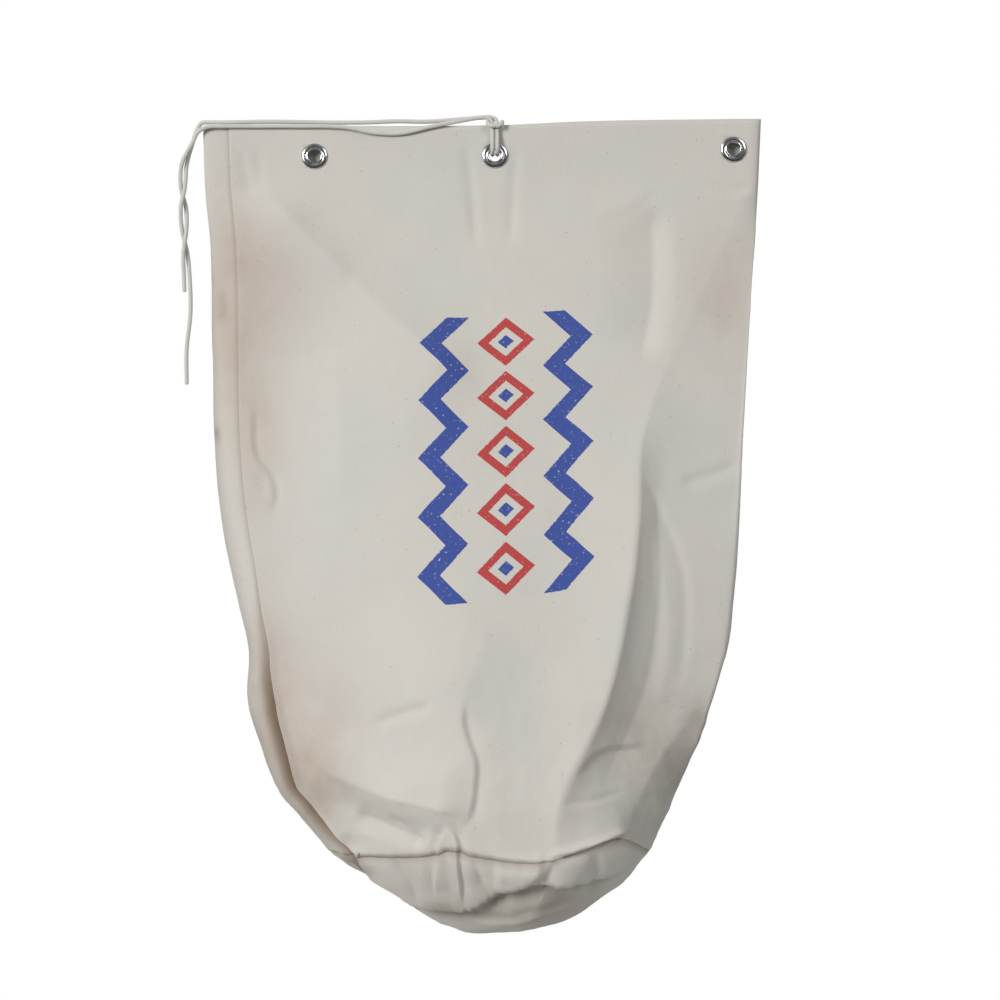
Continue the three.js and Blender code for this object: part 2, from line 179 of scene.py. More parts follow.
# Folds of the canvas. Left and right are those of the picture for a line that runs down, and a line that
# runs to the right has its right side above. Edge is how sharply one side turns into the other.
FOLDS = (
    Fold("belly", ((-70, 330), (-40, 700)), (12, 170), (12, 170), taper=0, round=True),
    Fold("low belly", ((-65, 640), (-45, 800)), (14, 140), (14, 140), taper=0, round=True),
    Fold("left diagonal", ((-250, 60), (-210, 106), (-165, 151), (-85, 226), (-37, 267), (6, 298)),
         (11, 78), (11, 60), 1.8),
    Fold("left diagonal start", ((-256, 54), (-226, 88), (-190, 124), (-140, 174)), (3, 40), (3, 26), 1.5),
    Fold("left top pucker", ((-263, 30), (-258, 56), (-251, 80)), (-2.0, 8), (-1.4, 10), 3),
    Fold("left top ripple", ((-246, 26), (-243, 52), (-245, 74)), (-1.8, 7), (-1.2, 9), 3),
    Fold("eyelet crease left", ((-17, 18), (-9, 82), (-5, 140)), (-2.4, 12), (-2.4, 6), 2),
    Fold("eyelet crease right", ((39, 18), (35, 82), (32, 135)), (-2.0, 12), (-2.0, 6), 2),
    Fold("right hollow", ((187, 84), (187, 192), (180, 231), (172, 262)), (-8.0, 58), (-8.0, 24), 2),
    Fold("hollow brow", ((120, 106), (160, 92), (194, 68)), (-0.9, 20), (0.8, 20), 5),
    Fold("right edge wave", ((240, 66), (263, 77), (299, 74)), (1.8, 14), (-2.4, 14), 4),
    Fold("right edge line", ((216, 394), (284, 371)), (-2.6, 14), (-2.6, 9), 2),
    Fold("left stripe", ((-165, 238), (-153, 351), (-157, 420)), (2.6, 50), (2.6, 40), 6),
    Fold("seam bulge", ((-250, 302), (-247, 362), (-230, 387), (-227, 411), (-238, 430)),
         (2.4, 14), (-3.0, 12), 4),
    Fold("main ridge", ((176, 320), (165, 488), (156, 530), (144, 601), (126, 654), (87, 732), (80, 782)),
         (5.0, 90), (5.0, 26), 2, 0.16),
    Fold("ridge valley", ((190, 380), (196, 500), (184, 600), (160, 668), (122, 742)),
         (-3.0, 18), (-3.0, 40), 4),
    Fold("second ridge", ((189, 433), (203, 520), (201, 597), (186, 652)), (1.3, 14), (1.3, 18), 3),
    Fold("thin crease", ((167, 367), (190, 411), (221, 494), (220, 584), (212, 625)),
         (-1.4, 12), (-1.4, 9), 2),
    Fold("middle crease top", ((5, 540), (0, 583), (-12, 612), (-16, 647), (-13, 668)),
         (1.4, 44), (1.4, 24), 5),
    Fold("middle crease", ((-17, 628), (-16, 655), (-11, 676), (-3, 697), (-3, 726), (-8, 754), (-20, 768)),
         (3.4, 55), (-1.8, 16), 3),
    Fold("left crumple", ((-119, 658), (-84, 646), (-48, 638)), (-3.2, 12), (-3.2, 10), 2),
    Fold("left tuck", ((-184, 698), (-159, 712), (-80, 738), (-6, 752)), (12, 26), (12, 64), 3),
    Fold("left rib", ((-179, 700), (-166, 742), (-146, 790)), (6, 16), (6, 22), 2),
    Fold("left hollow", ((-138, 750), (-98, 764), (-52, 782)), (-8.0, 18), (-8.0, 20), 3),
    Fold("hollow crease", ((-98, 752), (-74, 768), (-62, 784)), (-3.0, 9), (-3.0, 7), 2),
    Fold("right tuck", ((102, 714), (122, 689), (180, 680)), (-2.0, 20), (2.0, 30), 2),
    Fold("right line", ((84, 744), (122, 740), (158, 729)), (-1.6, 8), (-1.6, 9), 1),
    Fold("right shade", ((232, 640), (187, 704), (165, 754), (162, 782)), (4.0, 30), (4.0, 40), 3),
    Fold("pleat left", ((-32, 762), (-45, 784), (-49, 806), (-48, 832)), (-3.6, 14), (2.6, 16), 2),
    Fold("pleat right", ((-30, 762), (-21, 778), (-19, 808), (-17, 846)), (2.6, 14), (-3.0, 13), 2),
    Fold("pouch", ((14, 816), (72, 813)), (7.0, 18), (7.0, 20), 3),
    Fold("pouch edge", ((-4, 802), (16, 834), (45, 833), (86, 804)), (-6.5, 24), (3.0, 18), 3),
    Fold("turn under", ((-166, 791), (-117, 821), (-75, 846), (-50, 852), (-13, 854), (20, 842), (52, 835),
                        (102, 836), (145, 826), (175, 805)), (-17, 28), (3.0, 24), 2.5, 0.1),
    Fold("under line", ((-44, 862), (10, 868), (70, 862), (130, 850)), (3.0, 14), (-3.0, 12), 2),
    Fold("seam lip", ((72, 804), (118, 792), (166, 773)), (-9, 18), (6, 11), 1.5),
    Fold("base crease", ((126, 797), (126, 840)), (-4.5, 10), (-4.5, 8), 2),
    Fold("base left crease", ((-96, 796), (-74, 822), (-66, 846)), (-4.0, 12), (-4.0, 12), 2),
    Fold("back left fold", ((-150, 330), (-130, 560), (-95, 770)), (9, 60), (9, 60), 3, 0.25, "back"),
    Fold("back middle fold", ((20, 420), (14, 620), (5, 800)), (-9, 44), (-9, 48), 3, 0.25, "back"),
    Fold("back right fold", ((170, 300), (150, 540), (115, 770)), (9, 60), (9, 60), 3, 0.25, "back"),
    Fold("back cross fold", ((-120, 700), (-30, 742), (90, 724)), (-2.5, 44), (2.5, 48), 12, 0.3, "back"),
    Fold("back diagonal", ((210, 80), (120, 190), (30, 300)), (5, 60), (5, 70), 3, 0.2, "back"),
    Fold("back low crease", ((-40, 690), (-24, 740), (-30, 790)), (4, 34), (-3, 26), 8, 0.3, "back"),
)

# Spacing of the points on a fold's line, how far the canvas has to face a fold's side to show it, and how
# steeply a fold rises to its crest
FOLD_STEP = 8.0
FOLD_FACING = (0.02, 0.5)
CREST_POWER = 1.5


class Wrinkle(NamedTuple):
    """One kind of small wrinkle: its size, the shift of its noise and its height."""

    size: float
    shift: float
    height: float


# Small wrinkles: gentle ones below the band, and sharp ones low down, which are deeper where the canvas faces
# sideways and on the base. The pairs are the drops or the facing over which they come in.
GENTLE_WRINKLES = (Wrinkle(170, 3.1, 2.6), Wrinkle(56, 7.7, 0.9), Wrinkle(13, 1.3, 0.2))
GENTLE_FROM = (30.0, 130.0)
SHARP_WRINKLES = (Wrinkle(74, 11.9, 2.0), Wrinkle(33, 5.3, 0.9))
SHARP_FROM = (500.0, 740.0)
SHARP_CREST = 0.4
SHARP_DEPTH = 0.7
SIDE_DEPTH = 0.8
SIDE_FACING = (0.3, 0.8)
BASE_DEPTH = 0.8
BASE_FROM = (780.0, 810.0)

# Routes of the cord's two halves, as x, y and z: from the middle of the loop in front of the mouth's edge,
# over the edge, down the back, through both middle eyelets, up under the loop, left along the edge,
# over the left corner and down. Below the corner the two halves twist round each other.
LONG_ROUTE = (
    (14.25, -14.4, -4), (18.4, -14.2, -3.8), (21.8, -11.8, -1.4), (22, -7.4, 1.1), (21.7, 0, 1.5),
    (21.2, 7.4, 1.1), (20.2, 10.6, -4.5), (18.4, 10.4, -12), (17, 11.8, -20), (16.8, 11.9, -27.5),
    (16.8, 8, -32), (16.8, 0, -32.3), (16.8, -8, -32), (16.8, -11.9, -27.5), (16.8, -11.2, -20),
    (16.8, -9.4, -11), (16.6, -9.3, -3), (15.2, -7.2, 3.6), (10.6, -4.8, 6.5), (2, -3.6, 6.6),
    (-27, -4.6, 4.2), (-60, -5.4, 1.8), (-92, -5.6, 2.2), (-130, -5.6, 0.9), (-172, -5.6, 0.9),
    (-232, -5.6, 1.8), (-280, -5, 1), (-296, -4, 1.2), (-306.4, -3, 0.6), (-311.4, -2.2, -7),
    (-315.2, -1.6, -18), (-322.4, -1.4, -44), (-324.2, -5.2, -70), (-328.4, -6.6, -92), (-327.6, -2.4, -116),
    (-321.8, -1.4, -142), (-319.2, -3.4, -168), (-318.2, -3.8, -206), (-322.4, -4, -247), (-322.3, -4, -285),
)
SHORT_ROUTE = (
    (14.15, -14.4, -4), (10, -14.2, -3.8), (6.6, -11.8, -1.4), (6.4, -7.4, 1.1), (6.7, 0, 1.5),
    (7.2, 7.4, 1.1), (8.2, 10.6, -4.5), (10, 10.4, -12), (11.4, 11.8, -20), (11.6, 11.9, -27.5),
    (11.6, 8, -32), (11.6, 0, -32.3), (11.6, -8, -32), (11.6, -11.9, -27.5), (11.6, -11.2, -20),
    (11.6, -9.4, -11), (11.4, -9.4, -3), (10.2, -9.8, 2.6), (5, -9.6, 5.8), (-4, -9.4, 5.4),
    (-27, -9.9, 1.3), (-56, -9.7, -4.3), (-88, -9.2, -11.4), (-116, -9.2, -10.9), (-150, -9.2, -4.8),
    (-199, -9.2, -3.8), (-250, -9.2, -3.8), (-281, -9, -3.8), (-299, -8, -4.2), (-309.8, -7.8, -10),
    (-315, -7.4, -20), (-327.2, -6, -44), (-328.8, -1.6, -70), (-323.4, -0.6, -92), (-322.4, -5.6, -116),
    (-325.6, -6.6, -142), (-325.2, -4.6, -168), (-324.6, -4.6, -184),
)

# The cord's braid: its strands, the depth of their grooves as a share of the radius, and how far a strand
# dips under the next one. A free end is rounded over a share of the diameter. The curve has some steps from
# one point of the route to the next, and starts off across a direction that the route doesn't take.
BRAID_STRANDS = 3
BRAID_DEPTH = 0.2
STRAND_DIP = 0.45
END_SHARE = 1 / 3
END_ROUNDING = 0.75
ROUTE_STEPS = 40
OFF_ROUTE = (0.3, 0.4, 0.86)


class Patch(NamedTuple):
    """A soft patch of tint on the front: its place by x and drop, half width, half height and strength."""

    x: float
    drop: float
    half_width: float
    half_height: float
    strength: float


# Tints of the canvas by their patches, and the facing over which the front takes them
TINTS = {
    "blush": (
        Patch(-281, 192, 33, 120, 0.9), Patch(-236, 176, 52, 78, 0.6), Patch(266, 181, 38, 66, 0.7),
        Patch(-248, 345, 28, 90, 0.7), Patch(-232, 651, 27, 130, 0.9), Patch(-68, 826, 66, 34, 0.3),
        Patch(-188, 732, 28, 60, 0.9), Patch(-172, 650, 46, 90, 0.5),
    ),
    "soil": (Patch(190, 700, 62, 76, 0.7), Patch(-180, 730, 40, 50, 0.4)),
    # Painted shade on the underside of the base, with some dust there
    "underside_shade_and_dust": (
        Patch(30, 866, 100, 18, 0.8), Patch(62, 846, 70, 11, 0.7), Patch(45, 858, 34, 9, 0.5),
        Patch(-46, 857, 18, 8, 0.7), Patch(-148, 806, 14, 8, 1.0), Patch(-131, 818, 13, 7, 1.0),
    ),
    "rust": (Patch(-284, 198, 6, 15, 0.7), Patch(-290, 340, 4, 9, 0.6), Patch(236, 650, 9, 14, 0.35)),
}
TINT_FACING = (-0.35, 0.15)


# Curves through tables and lines

def cubic(start, end, leave, arrive, t):
    """Curve from start to end by the share of the way, with how it leaves and arrives."""
    rise = start * (1 + 2 * t) * (1 - t) ** 2 + leave * t * (1 - t) ** 2
    fall = end * t ** 2 * (3 - 2 * t) + arrive * t ** 2 * (t - 1)
    return rise + fall


def smooth_column(places, values, at):
    """Cubic curve through a table's column, with the mean of the neighbouring slopes at each row."""
    at = np.clip(at, places[0], places[-1])
    slopes = np.diff(values) / np.diff(places)
    tangents = np.concatenate((slopes[:1], (slopes[:-1] + slopes[1:]) / 2, slopes[-1:]))
    row = np.clip(np.searchsorted(places, at, side="right") - 1, 0, len(slopes) - 1)
    span = places[row + 1] - places[row]
    t = (at - places[row]) / span
    return cubic(values[row], values[row + 1], tangents[row] * span, tangents[row + 1] * span, t)


def smooth_step(low, high, at):
    """Eases from 0 at low to 1 at high."""
    t = np.clip((at - low) / (high - low), 0, 1)
    return t * t * (3 - 2 * t)


def way_along(points, axis=0):
    """How far each point lies along its line of points, for lines that run along an axis."""
    steps = np.linalg.norm(np.diff(points, axis=axis), axis=-1)
    start = np.zeros_like(np.take(steps, [0], axis=axis))
    return np.concatenate((start, np.cumsum(steps, axis=axis)), axis=axis)


def points_at(at, ways, points):
    """Points at given ways along a line of points."""
    return np.stack([np.interp(at, ways, axis) for axis in points.T], axis=-1)


def smooth_line(line, spacing):
    """Points close together on a smooth curve through a line's points."""
    line = np.array(line, float)
    ways = way_along(line)
    count = max(2, int(ways[-1] / spacing) + 1)
    at = np.linspace(0, ways[-1], count)
    return np.stack([smooth_column(ways, axis, at) for axis in line.T], axis=1)


def line_distance(points, line):
    """Each point's signed distance from a line, positive to the right, and its share of the way along it."""
    runs = np.diff(line, axis=0)
    lengths = np.linalg.norm(runs, axis=1)
    ways = way_along(line)
    best = np.full(len(points), np.inf)
    signed = np.zeros(len(points))
    share = np.zeros(len(points))
    for start, run, length, way in zip(line, runs, lengths, ways):
        away = points - start
        t = np.clip(away @ run / length ** 2, 0, 1)
        distance = np.linalg.norm(away - t[:, None] * run, axis=1)
        nearer = distance < best
        best[nearer] = distance[nearer]
        turn = np.sign(run[1] * away[:, 0] - run[0] * away[:, 1])
        signed[nearer] = (distance * turn)[nearer]
        share[nearer] = (way + t[nearer] * length) / ways[-1]
    return signed, share


# Shape of the canvas

def bend(start, control, end, shares):
    """Points of a curve from start to end that leaves and arrives along its control point."""
    t = shares[None, :, None]
    return start[:, None] * (1 - t) ** 2 + control[:, None] * 2 * t * (1 - t) + end[:, None] * t ** 2


def eyelet_shares():
    """Shares of the way along the back where its columns lie close together, round the eyelets' holes."""
    half_width = SECTIONS[0, 2] - SECTIONS[0, -1]
    middles = np.array([place.x / MM for place in eyelet_places().values() if place.y > 0])
    return 0.5 - (middles[:, None] + EYELET_COLUMNS).ravel() / (2 * half_width)


def flat_point(x, y):
    """Points of the cross-sections by x and y."""
    return np.stack(np.broadcast_arrays(x, y), axis=1).astype(float)


def section_loops(drops):
    """x and y of each cross-section, from the side seam by the front and the back to the strip behind it."""
    left, right, seam, ridge, edge, back, ridge_in, back_in = (
        smooth_column(SECTIONS[:, 0], column, drops) for column in SECTIONS.T[1:])
    strip_depth = LAP_STEP - seam
    seam_x = left + SIDE_SEAM_INSET + np.interp(drops, *SEAM_SHIFT.T)
    bow = smooth_column(*SIDE_BOW.T, drops)
    side_control = flat_point(right - ridge_in * (1 - bow) / 2, -(edge + (ridge - edge) * (1 + bow) / 2))
    seam_place = flat_point(seam_x, -seam)
    ridge_place = flat_point(right - ridge_in, -ridge)
    left_edge = flat_point(left, np.zeros_like(drops))
    right_edge = flat_point(right, -edge)
    back_right = flat_point(right - back_in, back)
    back_left = flat_point(left + back_in, back)
    strip_end = flat_point(seam_x - LAP_RUN, strip_depth)
    even = {name: np.linspace(0, 1, count, endpoint=False) for name, count in COLUMNS.items()}
    front_shares = np.insert(even["front"], 1, FRONT_LAP_SHARE)
    back_shares = np.union1d(even["back"], eyelet_shares())
    strip_shares = np.append(even["strip"], STRIP_LAP_SHARES)
    return np.concatenate((
        bend(seam_place, (seam_place + ridge_place) / 2, ridge_place, front_shares),
        bend(ridge_place, side_control, right_edge, even["ridge"]),
        bend(right_edge, flat_point(right, back), back_right, even["back_corner"]),
        bend(back_right, (back_right + back_left) / 2, back_left, back_shares),
        bend(back_left, flat_point(left, back), left_edge, even["back_corner"]),
        bend(left_edge, flat_point(left, strip_depth), strip_end, strip_shares),
    ), axis=1)


def body_rows():
    """The tube of canvas as rows of points, with the mouth's edge and the base seam followed."""
    share = np.linspace(0, 1, BODY_ROWS)
    drops = SEAM_DROP * ((1 + ROW_GRADING) * share - ROW_GRADING * share ** 2)
    loops = section_loops(drops)
    x = loops[..., 0]
    y = loops[..., 1]
    drop = drops[:, None]
    band_share = np.clip(1 - drop / BAND_DROP, 0, 1)
    seam_share = smooth_step(SEAM_FOLLOW_FROM, SEAM_DROP, drop)
    front_seam = smooth_column(*FRONT_SEAM.T, x)
    to_back = smooth_step(-SEAM_TURN, SEAM_TURN, y)
    seam_drop = front_seam * (1 - to_back) + BACK_SEAM_DROP * to_back
    edge = smooth_column(*MOUTH_EDGE.T, x)
    z = edge * band_share - drop - (seam_drop - SEAM_DROP) * seam_share
    return np.stack((x, y, z), axis=2)


def base_rings(seam_ring):
    """The base as rings of points, from just inside the seam to just outside its lowest point."""
    share = np.linspace(1, 0, BASE_RINGS + 1)[1:-1, None]
    out_x = seam_ring[:, 0] - BASE_CENTRE[0]
    out_y = seam_ring[:, 1] - BASE_CENTRE[1]
    sideways = out_x ** 2 / (out_x ** 2 + out_y ** 2)
    side_power = np.where(out_x < 0, BOWL_POWER["left"], BOWL_POWER["right"])
    face_power = np.where(out_y < 0, BOWL_POWER["front"], BOWL_POWER["back"])
    power = face_power + (side_power - face_power) * sideways
    edge_height = -BACK_SEAM_DROP + (seam_ring[:, 2] + BACK_SEAM_DROP) * share
    z = -BOTTOM_DROP + (edge_height + BOTTOM_DROP) * share ** power
    return np.stack((BASE_CENTRE[0] + out_x * share, BASE_CENTRE[1] + out_y * share, z), axis=2)


def grid_normals(grid):
    """Outward normals of rows of points that close into rings."""
    along = np.roll(grid, -1, axis=1) - np.roll(grid, 1, axis=1)
    down = np.gradient(grid, axis=0)
    normals = np.cross(down, along)
    return normals / np.linalg.norm(normals, axis=2, keepdims=True)


def seen_places(grid):
    """x and drop of each point as the camera sees them in the mouth's plane."""
    nearness = VIEW_DISTANCE / (VIEW_DISTANCE + grid[..., 1])
    x = VIEW_X + (grid[..., 0] - VIEW_X) * nearness
    drop = VIEW_DROP + (-grid[..., 2] - VIEW_DROP) * nearness
    return np.stack((x, drop), axis=-1)


def fold_side(height_width, distance, is_round):
    """A fold's height on one of its sides: a sharp crest with a hollow foot, or a round bulge."""
    height, width = height_width
    away = np.clip(np.abs(distance) / width, 0, 1)
    if is_round:
        return height * (1 - away ** 2) ** 2
    return height * (1 - away) ** CREST_POWER


def fold_heights(grid, normals):
    """How far the folds move each point of the canvas outwards."""
    heights = np.zeros(grid.shape[:2])
    seen = {"front": seen_places(grid), "back": np.stack((grid[..., 0], -grid[..., 2]), axis=-1)}
    outwards = {"front": -normals[..., 1], "back": normals[..., 1]}
    facing = {side: smooth_step(*FOLD_FACING, share) for side, share in outwards.items()}
    for fold in FOLDS:
        line = smooth_line(fold.line, FOLD_STEP)
        reach = max(fold.left[1], fold.right[1])
        places = seen[fold.side]
        inside = np.all((places > line.min(0) - reach) & (places < line.max(0) + reach), axis=2)
        inside &= facing[fold.side] > 0
        distance, share = line_distance(places[inside], line)
        turn = smooth_step(-fold.edge, fold.edge, distance)
        left = fold_side(fold.left, distance, fold.round)
        right = fold_side(fold.right, distance, fold.round)
        height = left * (1 - turn) + right * turn
        if fold.taper:
            height *= smooth_step(0, fold.taper, share) * smooth_step(0, fold.taper, 1 - share)
        heights[inside] += height * facing[fold.side][inside]
    return heights


def noise_at(grid, wrinkle):
    """Smooth noise of a wrinkle's size in space, between -1 and 1."""
    places = (grid / wrinkle.size + wrinkle.shift).reshape(-1, 3).tolist()
    return np.array([noise.noise(place) for place in places]).reshape(grid.shape[:2])


def crumple_heights(grid, normals):
    """Small wrinkles: gentle below the band, sharper and deeper towards the base seam."""
    drop = -grid[..., 2]
    gentle = sum(wrinkle.height * noise_at(grid, wrinkle) for wrinkle in GENTLE_WRINKLES)
    sharp = sum(wrinkle.height * (SHARP_CREST - 2 * np.abs(noise_at(grid, wrinkle)))
                for wrinkle in SHARP_WRINKLES)
    depth = SHARP_DEPTH + SIDE_DEPTH * smooth_step(*SIDE_FACING, np.abs(normals[..., 0]))
    rough = smooth_step(*SHARP_FROM, drop) * depth + BASE_DEPTH * smooth_step(*BASE_FROM, drop)
    return smooth_step(*GENTLE_FROM, drop) * gentle + rough * sharp


def strip_distance(grid):
    """Each point's distance from the side seam: behind it along the strip, and before it along the front."""
    front = COLUMNS["front"]
    behind = np.full(grid.shape[:2], np.inf)
    behind[:, -STRIP_COLUMNS:] = way_along(grid[:, :-STRIP_COLUMNS - 1:-1], axis=1)[:, ::-1]
    before = np.full(grid.shape[:2], np.inf)
    before[:, :front] = way_along(grid[:, :front], axis=1)
    return behind, before


def seam_relief(grid):
    """Low down, the side seam is a rib beside a groove in the strip: heights out, and steps to the back."""
    behind, before = strip_distance(grid)
    drop = -grid[..., 2]
    low = smooth_step(*RELIEF_FROM, drop) * (1 - smooth_step(*RELIEF_TO, drop))
    groove = np.clip(1 - behind / GROOVE_REACH, 0, 1) ** RELIEF_POWER
    rib = np.clip(1 - before / RIB_REACH, 0, 1) ** RELIEF_POWER
    return low * RIB_HEIGHT * rib, low * GROOVE_DEPTH * groove


def seam_distance(grid, seam_row):
    """Each point's distance from the base seam, up or down the canvas."""
    down = way_along(grid)
    return np.abs(down - down[seam_row])


def seam_heights(grid, seam_row):
    """The groove at the base seam, and the puckers that its stitches draw up."""
    from_seam = seam_distance(grid, seam_row)
    ring = grid[seam_row]
    around = np.cumsum(np.linalg.norm(ring - np.roll(ring, 1, axis=0), axis=1))
    drift = PUCKER_DRIFT * np.sin(around / PUCKER_DRIFT_LENGTH)
    wave = np.sin(around / PUCKER_LENGTH + drift) + SECOND_PUCKER * np.sin(around / SECOND_PUCKER_LENGTH)
    groove = -SEAM_TUCK * np.exp(-(from_seam / SEAM_TUCK_REACH) ** 2)
    return groove + PUCKER_HEIGHT * wave[None] * np.exp(-from_seam / PUCKER_REACH)


class CanvasShape(NamedTuple):
    """The outer face of the canvas: points, normals, the row of the base seam and the lowest point."""

    grid: np.ndarray
    normals: np.ndarray
    seam_row: int
    bottom: np.ndarray


@functools.lru_cache(maxsize=1)
def canvas_shape():
    """Works out the outer face of the canvas, from the mouth to the ring around its lowest point."""
    body = body_rows()
    grid = np.concatenate((body, base_rings(body[-1])))
    seam_row = len(body) - 1
    normals = grid_normals(grid)
    # Both sides of the lap's step move as the canvas beside it does
    normals[:, 0] = normals[:, 1]
    normals[:, -1] = normals[:, -2]
    heights = fold_heights(grid, normals) + crumple_heights(grid, normals)
    rib, groove = seam_relief(grid)
    heights += seam_heights(grid, seam_row) + rib
    grid = grid + normals * heights[..., None]
    grid[..., 1] += groove
    bottom = np.array((*BASE_CENTRE, grid[-1, :, 2].min()))
    return CanvasShape(grid, grid_normals(grid), seam_row, bottom)


# Making meshes

def new_object(name, vertices, faces):
    """A mesh object at the origin, from points in millimetres."""
    mesh = bpy.data.meshes.new(name)
    mesh.from_pydata((np.asarray(vertices) * MM).tolist(), [], faces)
    mesh.shade_smooth()
    piece = bpy.data.objects.new(name, mesh)
    bpy.context.scene.collection.objects.link(piece)
    return piece


def ring_faces(rows, columns, keep=None):
    """Quads between rows of points that close into rings, and each quad's corners by row and column."""
    row, column = np.meshgrid(np.arange(rows - 1), np.arange(columns), indexing="ij")
    turns = ((0, 0), (1, 0), (1, 1), (0, 1))
    corners = np.stack([np.stack((row + down, column + beside), axis=-1) for down, beside in turns], axis=2)
    corners = corners.reshape(-1, 4, 2)
    if keep is not None:
        corners = corners[keep.reshape(-1)]
    faces = corners[..., 0] * columns + corners[..., 1] % columns
    return faces.tolist(), corners


def set_uv(piece, corner_uv):
    """Lays a piece's cloth coordinates, in metres, over its face corners."""
    layer = piece.data.uv_layers.new(name="cloth")
    layer.uv.foreach_set("vector", (np.asarray(corner_uv) * MM).astype(np.float32).ravel())


def add_share(piece, name, share):
    """Gives each point of a piece a value between 0 and 1."""
    values = piece.data.attributes.new(name, "FLOAT", "POINT")
    values.data.foreach_set("value", np.clip(share, 0, 1).astype(np.float32).ravel())


def shade_and_grime(strength_reach, distance):
    """Painted shade and grime that fade with the distance from a seam."""
    strength, reach = strength_reach
    return strength * np.exp(-(distance / reach) ** 2)


def seam_shade_and_grime_shares(shape):
    """How deep each point of the canvas lies in the painted shade and grime of the side seam or the base
    seam.
    """
    behind = strip_distance(shape.grid)[0]
    low = smooth_step(*LOW_SHADE_AND_GRIME_FROM, -shape.grid[..., 2])
    side = np.maximum(shade_and_grime(SIDE_SHADE_AND_GRIME, behind), low * shade_and_grime(LOW_SHADE_AND_GRIME, behind))
    return np.maximum(side, shade_and_grime(BASE_SHADE_AND_GRIME, seam_distance(shape.grid, shape.seam_row)))


def set_tints(piece, places, normals):
    """Gives each point of the canvas its share of every tint."""
    seen = seen_places(places)
    front = smooth_step(*TINT_FACING, -normals[..., 1])
    for tint, patches in TINTS.items():
        share = np.zeros(seen.shape[:-1])
        for patch in patches:
            across = (seen[..., 0] - patch.x) / patch.half_width
            down = (seen[..., 1] - patch.drop) / patch.half_height
            share += patch.strength * np.exp(-across ** 2 - down ** 2) * front
        add_share(piece, tint, share)


def make_active(piece):
    """Selects one piece alone."""
    bpy.ops.object.select_all(action="DESELECT")
    piece.select_set(True)
    bpy.context.view_layer.objects.active = piece


def thicken(piece, wall):
    """Gives a sheet of cloth its thickness, inwards."""
    make_active(piece)
    solidify = piece.modifiers.new("wall", "SOLIDIFY")
    solidify.thickness = wall
    solidify.offset = -1
    bpy.ops.object.modifier_apply(modifier=solidify.name)


def eyelet_places():
    """Where the frame's eyelets are: the middle of each one's box, by name."""
    places = {}
    for name in sorted(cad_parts):
        if name.startswith("eyelet_"):
            low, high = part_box(name)
            places[name] = (low + high) / 2
    return places


def clear_of_eyelets(grid, radius):
    """Which quads of the canvas lie clear of the eyelets' holes."""
    middle = (grid[:-1] + grid[1:]) / 2
    middle = (middle + np.roll(middle, -1, axis=1)) / 2
    clear = np.ones(middle.shape[:2], bool)
    for place in eyelet_places().values():
        across = np.hypot(middle[..., 0] - place.x / MM, middle[..., 2] - place.z / MM)
        clear &= (across > radius) | (middle[..., 1] * place.y < 0)
    return clear


# Shader nodes

def put(socket, value):
    """Links an output to an input socket, or sets the input to a constant."""
    if isinstance(value, bpy.types.NodeSocket):
        socket.id_data.links.new(value, socket)
    else:
        socket.default_value = value


def add_node(tree, kind, inputs=None, **settings):
    """A new node with its settings and inputs."""
    node = tree.nodes.new(kind)
    for name, value in settings.items():
        setattr(node, name, value)
    for key, value in (inputs or {}).items():
        put(node.inputs[key], value)
    return node


def calc(tree, operation, first, second=0.0):
    """The output of a Math node."""
    return add_node(tree, "ShaderNodeMath", {0: first, 1: second}, operation=operation).outputs[0]


def ramp(tree, value, low, high):
    """Eases a value from 0 at low to 1 at high."""
    inputs = {"Value": value, "From Min": low, "From Max": high}
    return add_node(tree, "ShaderNodeMapRange", inputs, interpolation_type="SMOOTHSTEP").outputs[0]


def mixed(tree, share, first, second, mode="MIX"):
    """The output of a colour Mix node."""
    node = add_node(tree, "ShaderNodeMix", {0: share, 6: first, 7: second}, data_type="RGBA", blend_type=mode)
    return node.outputs[2]


def cloud(tree, vector, scale=1.0, detail=2.0, roughness=0.5):
    """Noise texture between 0 and 1."""
    inputs = {"Vector": vector, "Scale": scale, "Detail": detail, "Roughness": roughness}
    return add_node(tree, "ShaderNodeTexNoise", inputs).outputs[0]


def stretched(tree, vector, scale):
    """A vector scaled differently along its axes."""
    return add_node(tree, "ShaderNodeMapping", {"Vector": vector, "Scale": scale}).outputs[0]


def attribute(tree, name):
    """A point attribute of the piece, as a value."""
    return add_node(tree, "ShaderNodeAttribute", attribute_name=name).outputs["Fac"]


def cloth_vector(tree):
    """Coordinates along the cloth or the cord, in metres."""
    return add_node(tree, "ShaderNodeUVMap", uv_map="cloth").outputs[0]


def space_vector(tree):
    """Coordinates in space, in metres."""
    return add_node(tree, "ShaderNodeTexCoord").outputs["Object"]


def stained(tree, colour, mask, strength, tint):
    """A colour with a tint mixed in by a mask and its strength."""
    return mixed(tree, calc(tree, "MULTIPLY", mask, strength), colour, tint)


def set_surface(shader, colour, grain, roughness, relief, strength, distance):
    """Links a shader's colour, its roughness between two values by the grain, and its bump by the relief."""
    tree = shader.id_data
    inputs = {"Value": grain, "To Min": roughness[0], "To Max": roughness[1]}
    rough = add_node(tree, "ShaderNodeMapRange", inputs)
    bump = add_node(tree, "ShaderNodeBump", {"Height": relief, "Strength": strength, "Distance": distance})
    put(shader.inputs["Base Color"], colour)
    put(shader.inputs["Roughness"], rough.outputs[0])
    put(shader.inputs["Normal"], bump.outputs[0])


def new_group(name, inputs, outputs):
    """An empty shader node group with its sockets, and its input and output nodes."""
    group = bpy.data.node_groups.new(name, "ShaderNodeTree")
    for socket, kind in inputs:
        group.interface.new_socket(socket, in_out="INPUT", socket_type=kind)
    for socket, kind in outputs:
        group.interface.new_socket(socket, in_out="OUTPUT", socket_type=kind)
    return group, group.nodes.new("NodeGroupInput"), group.nodes.new("NodeGroupOutput")


VECTOR = "NodeSocketVector"
FLOAT = "NodeSocketFloat"


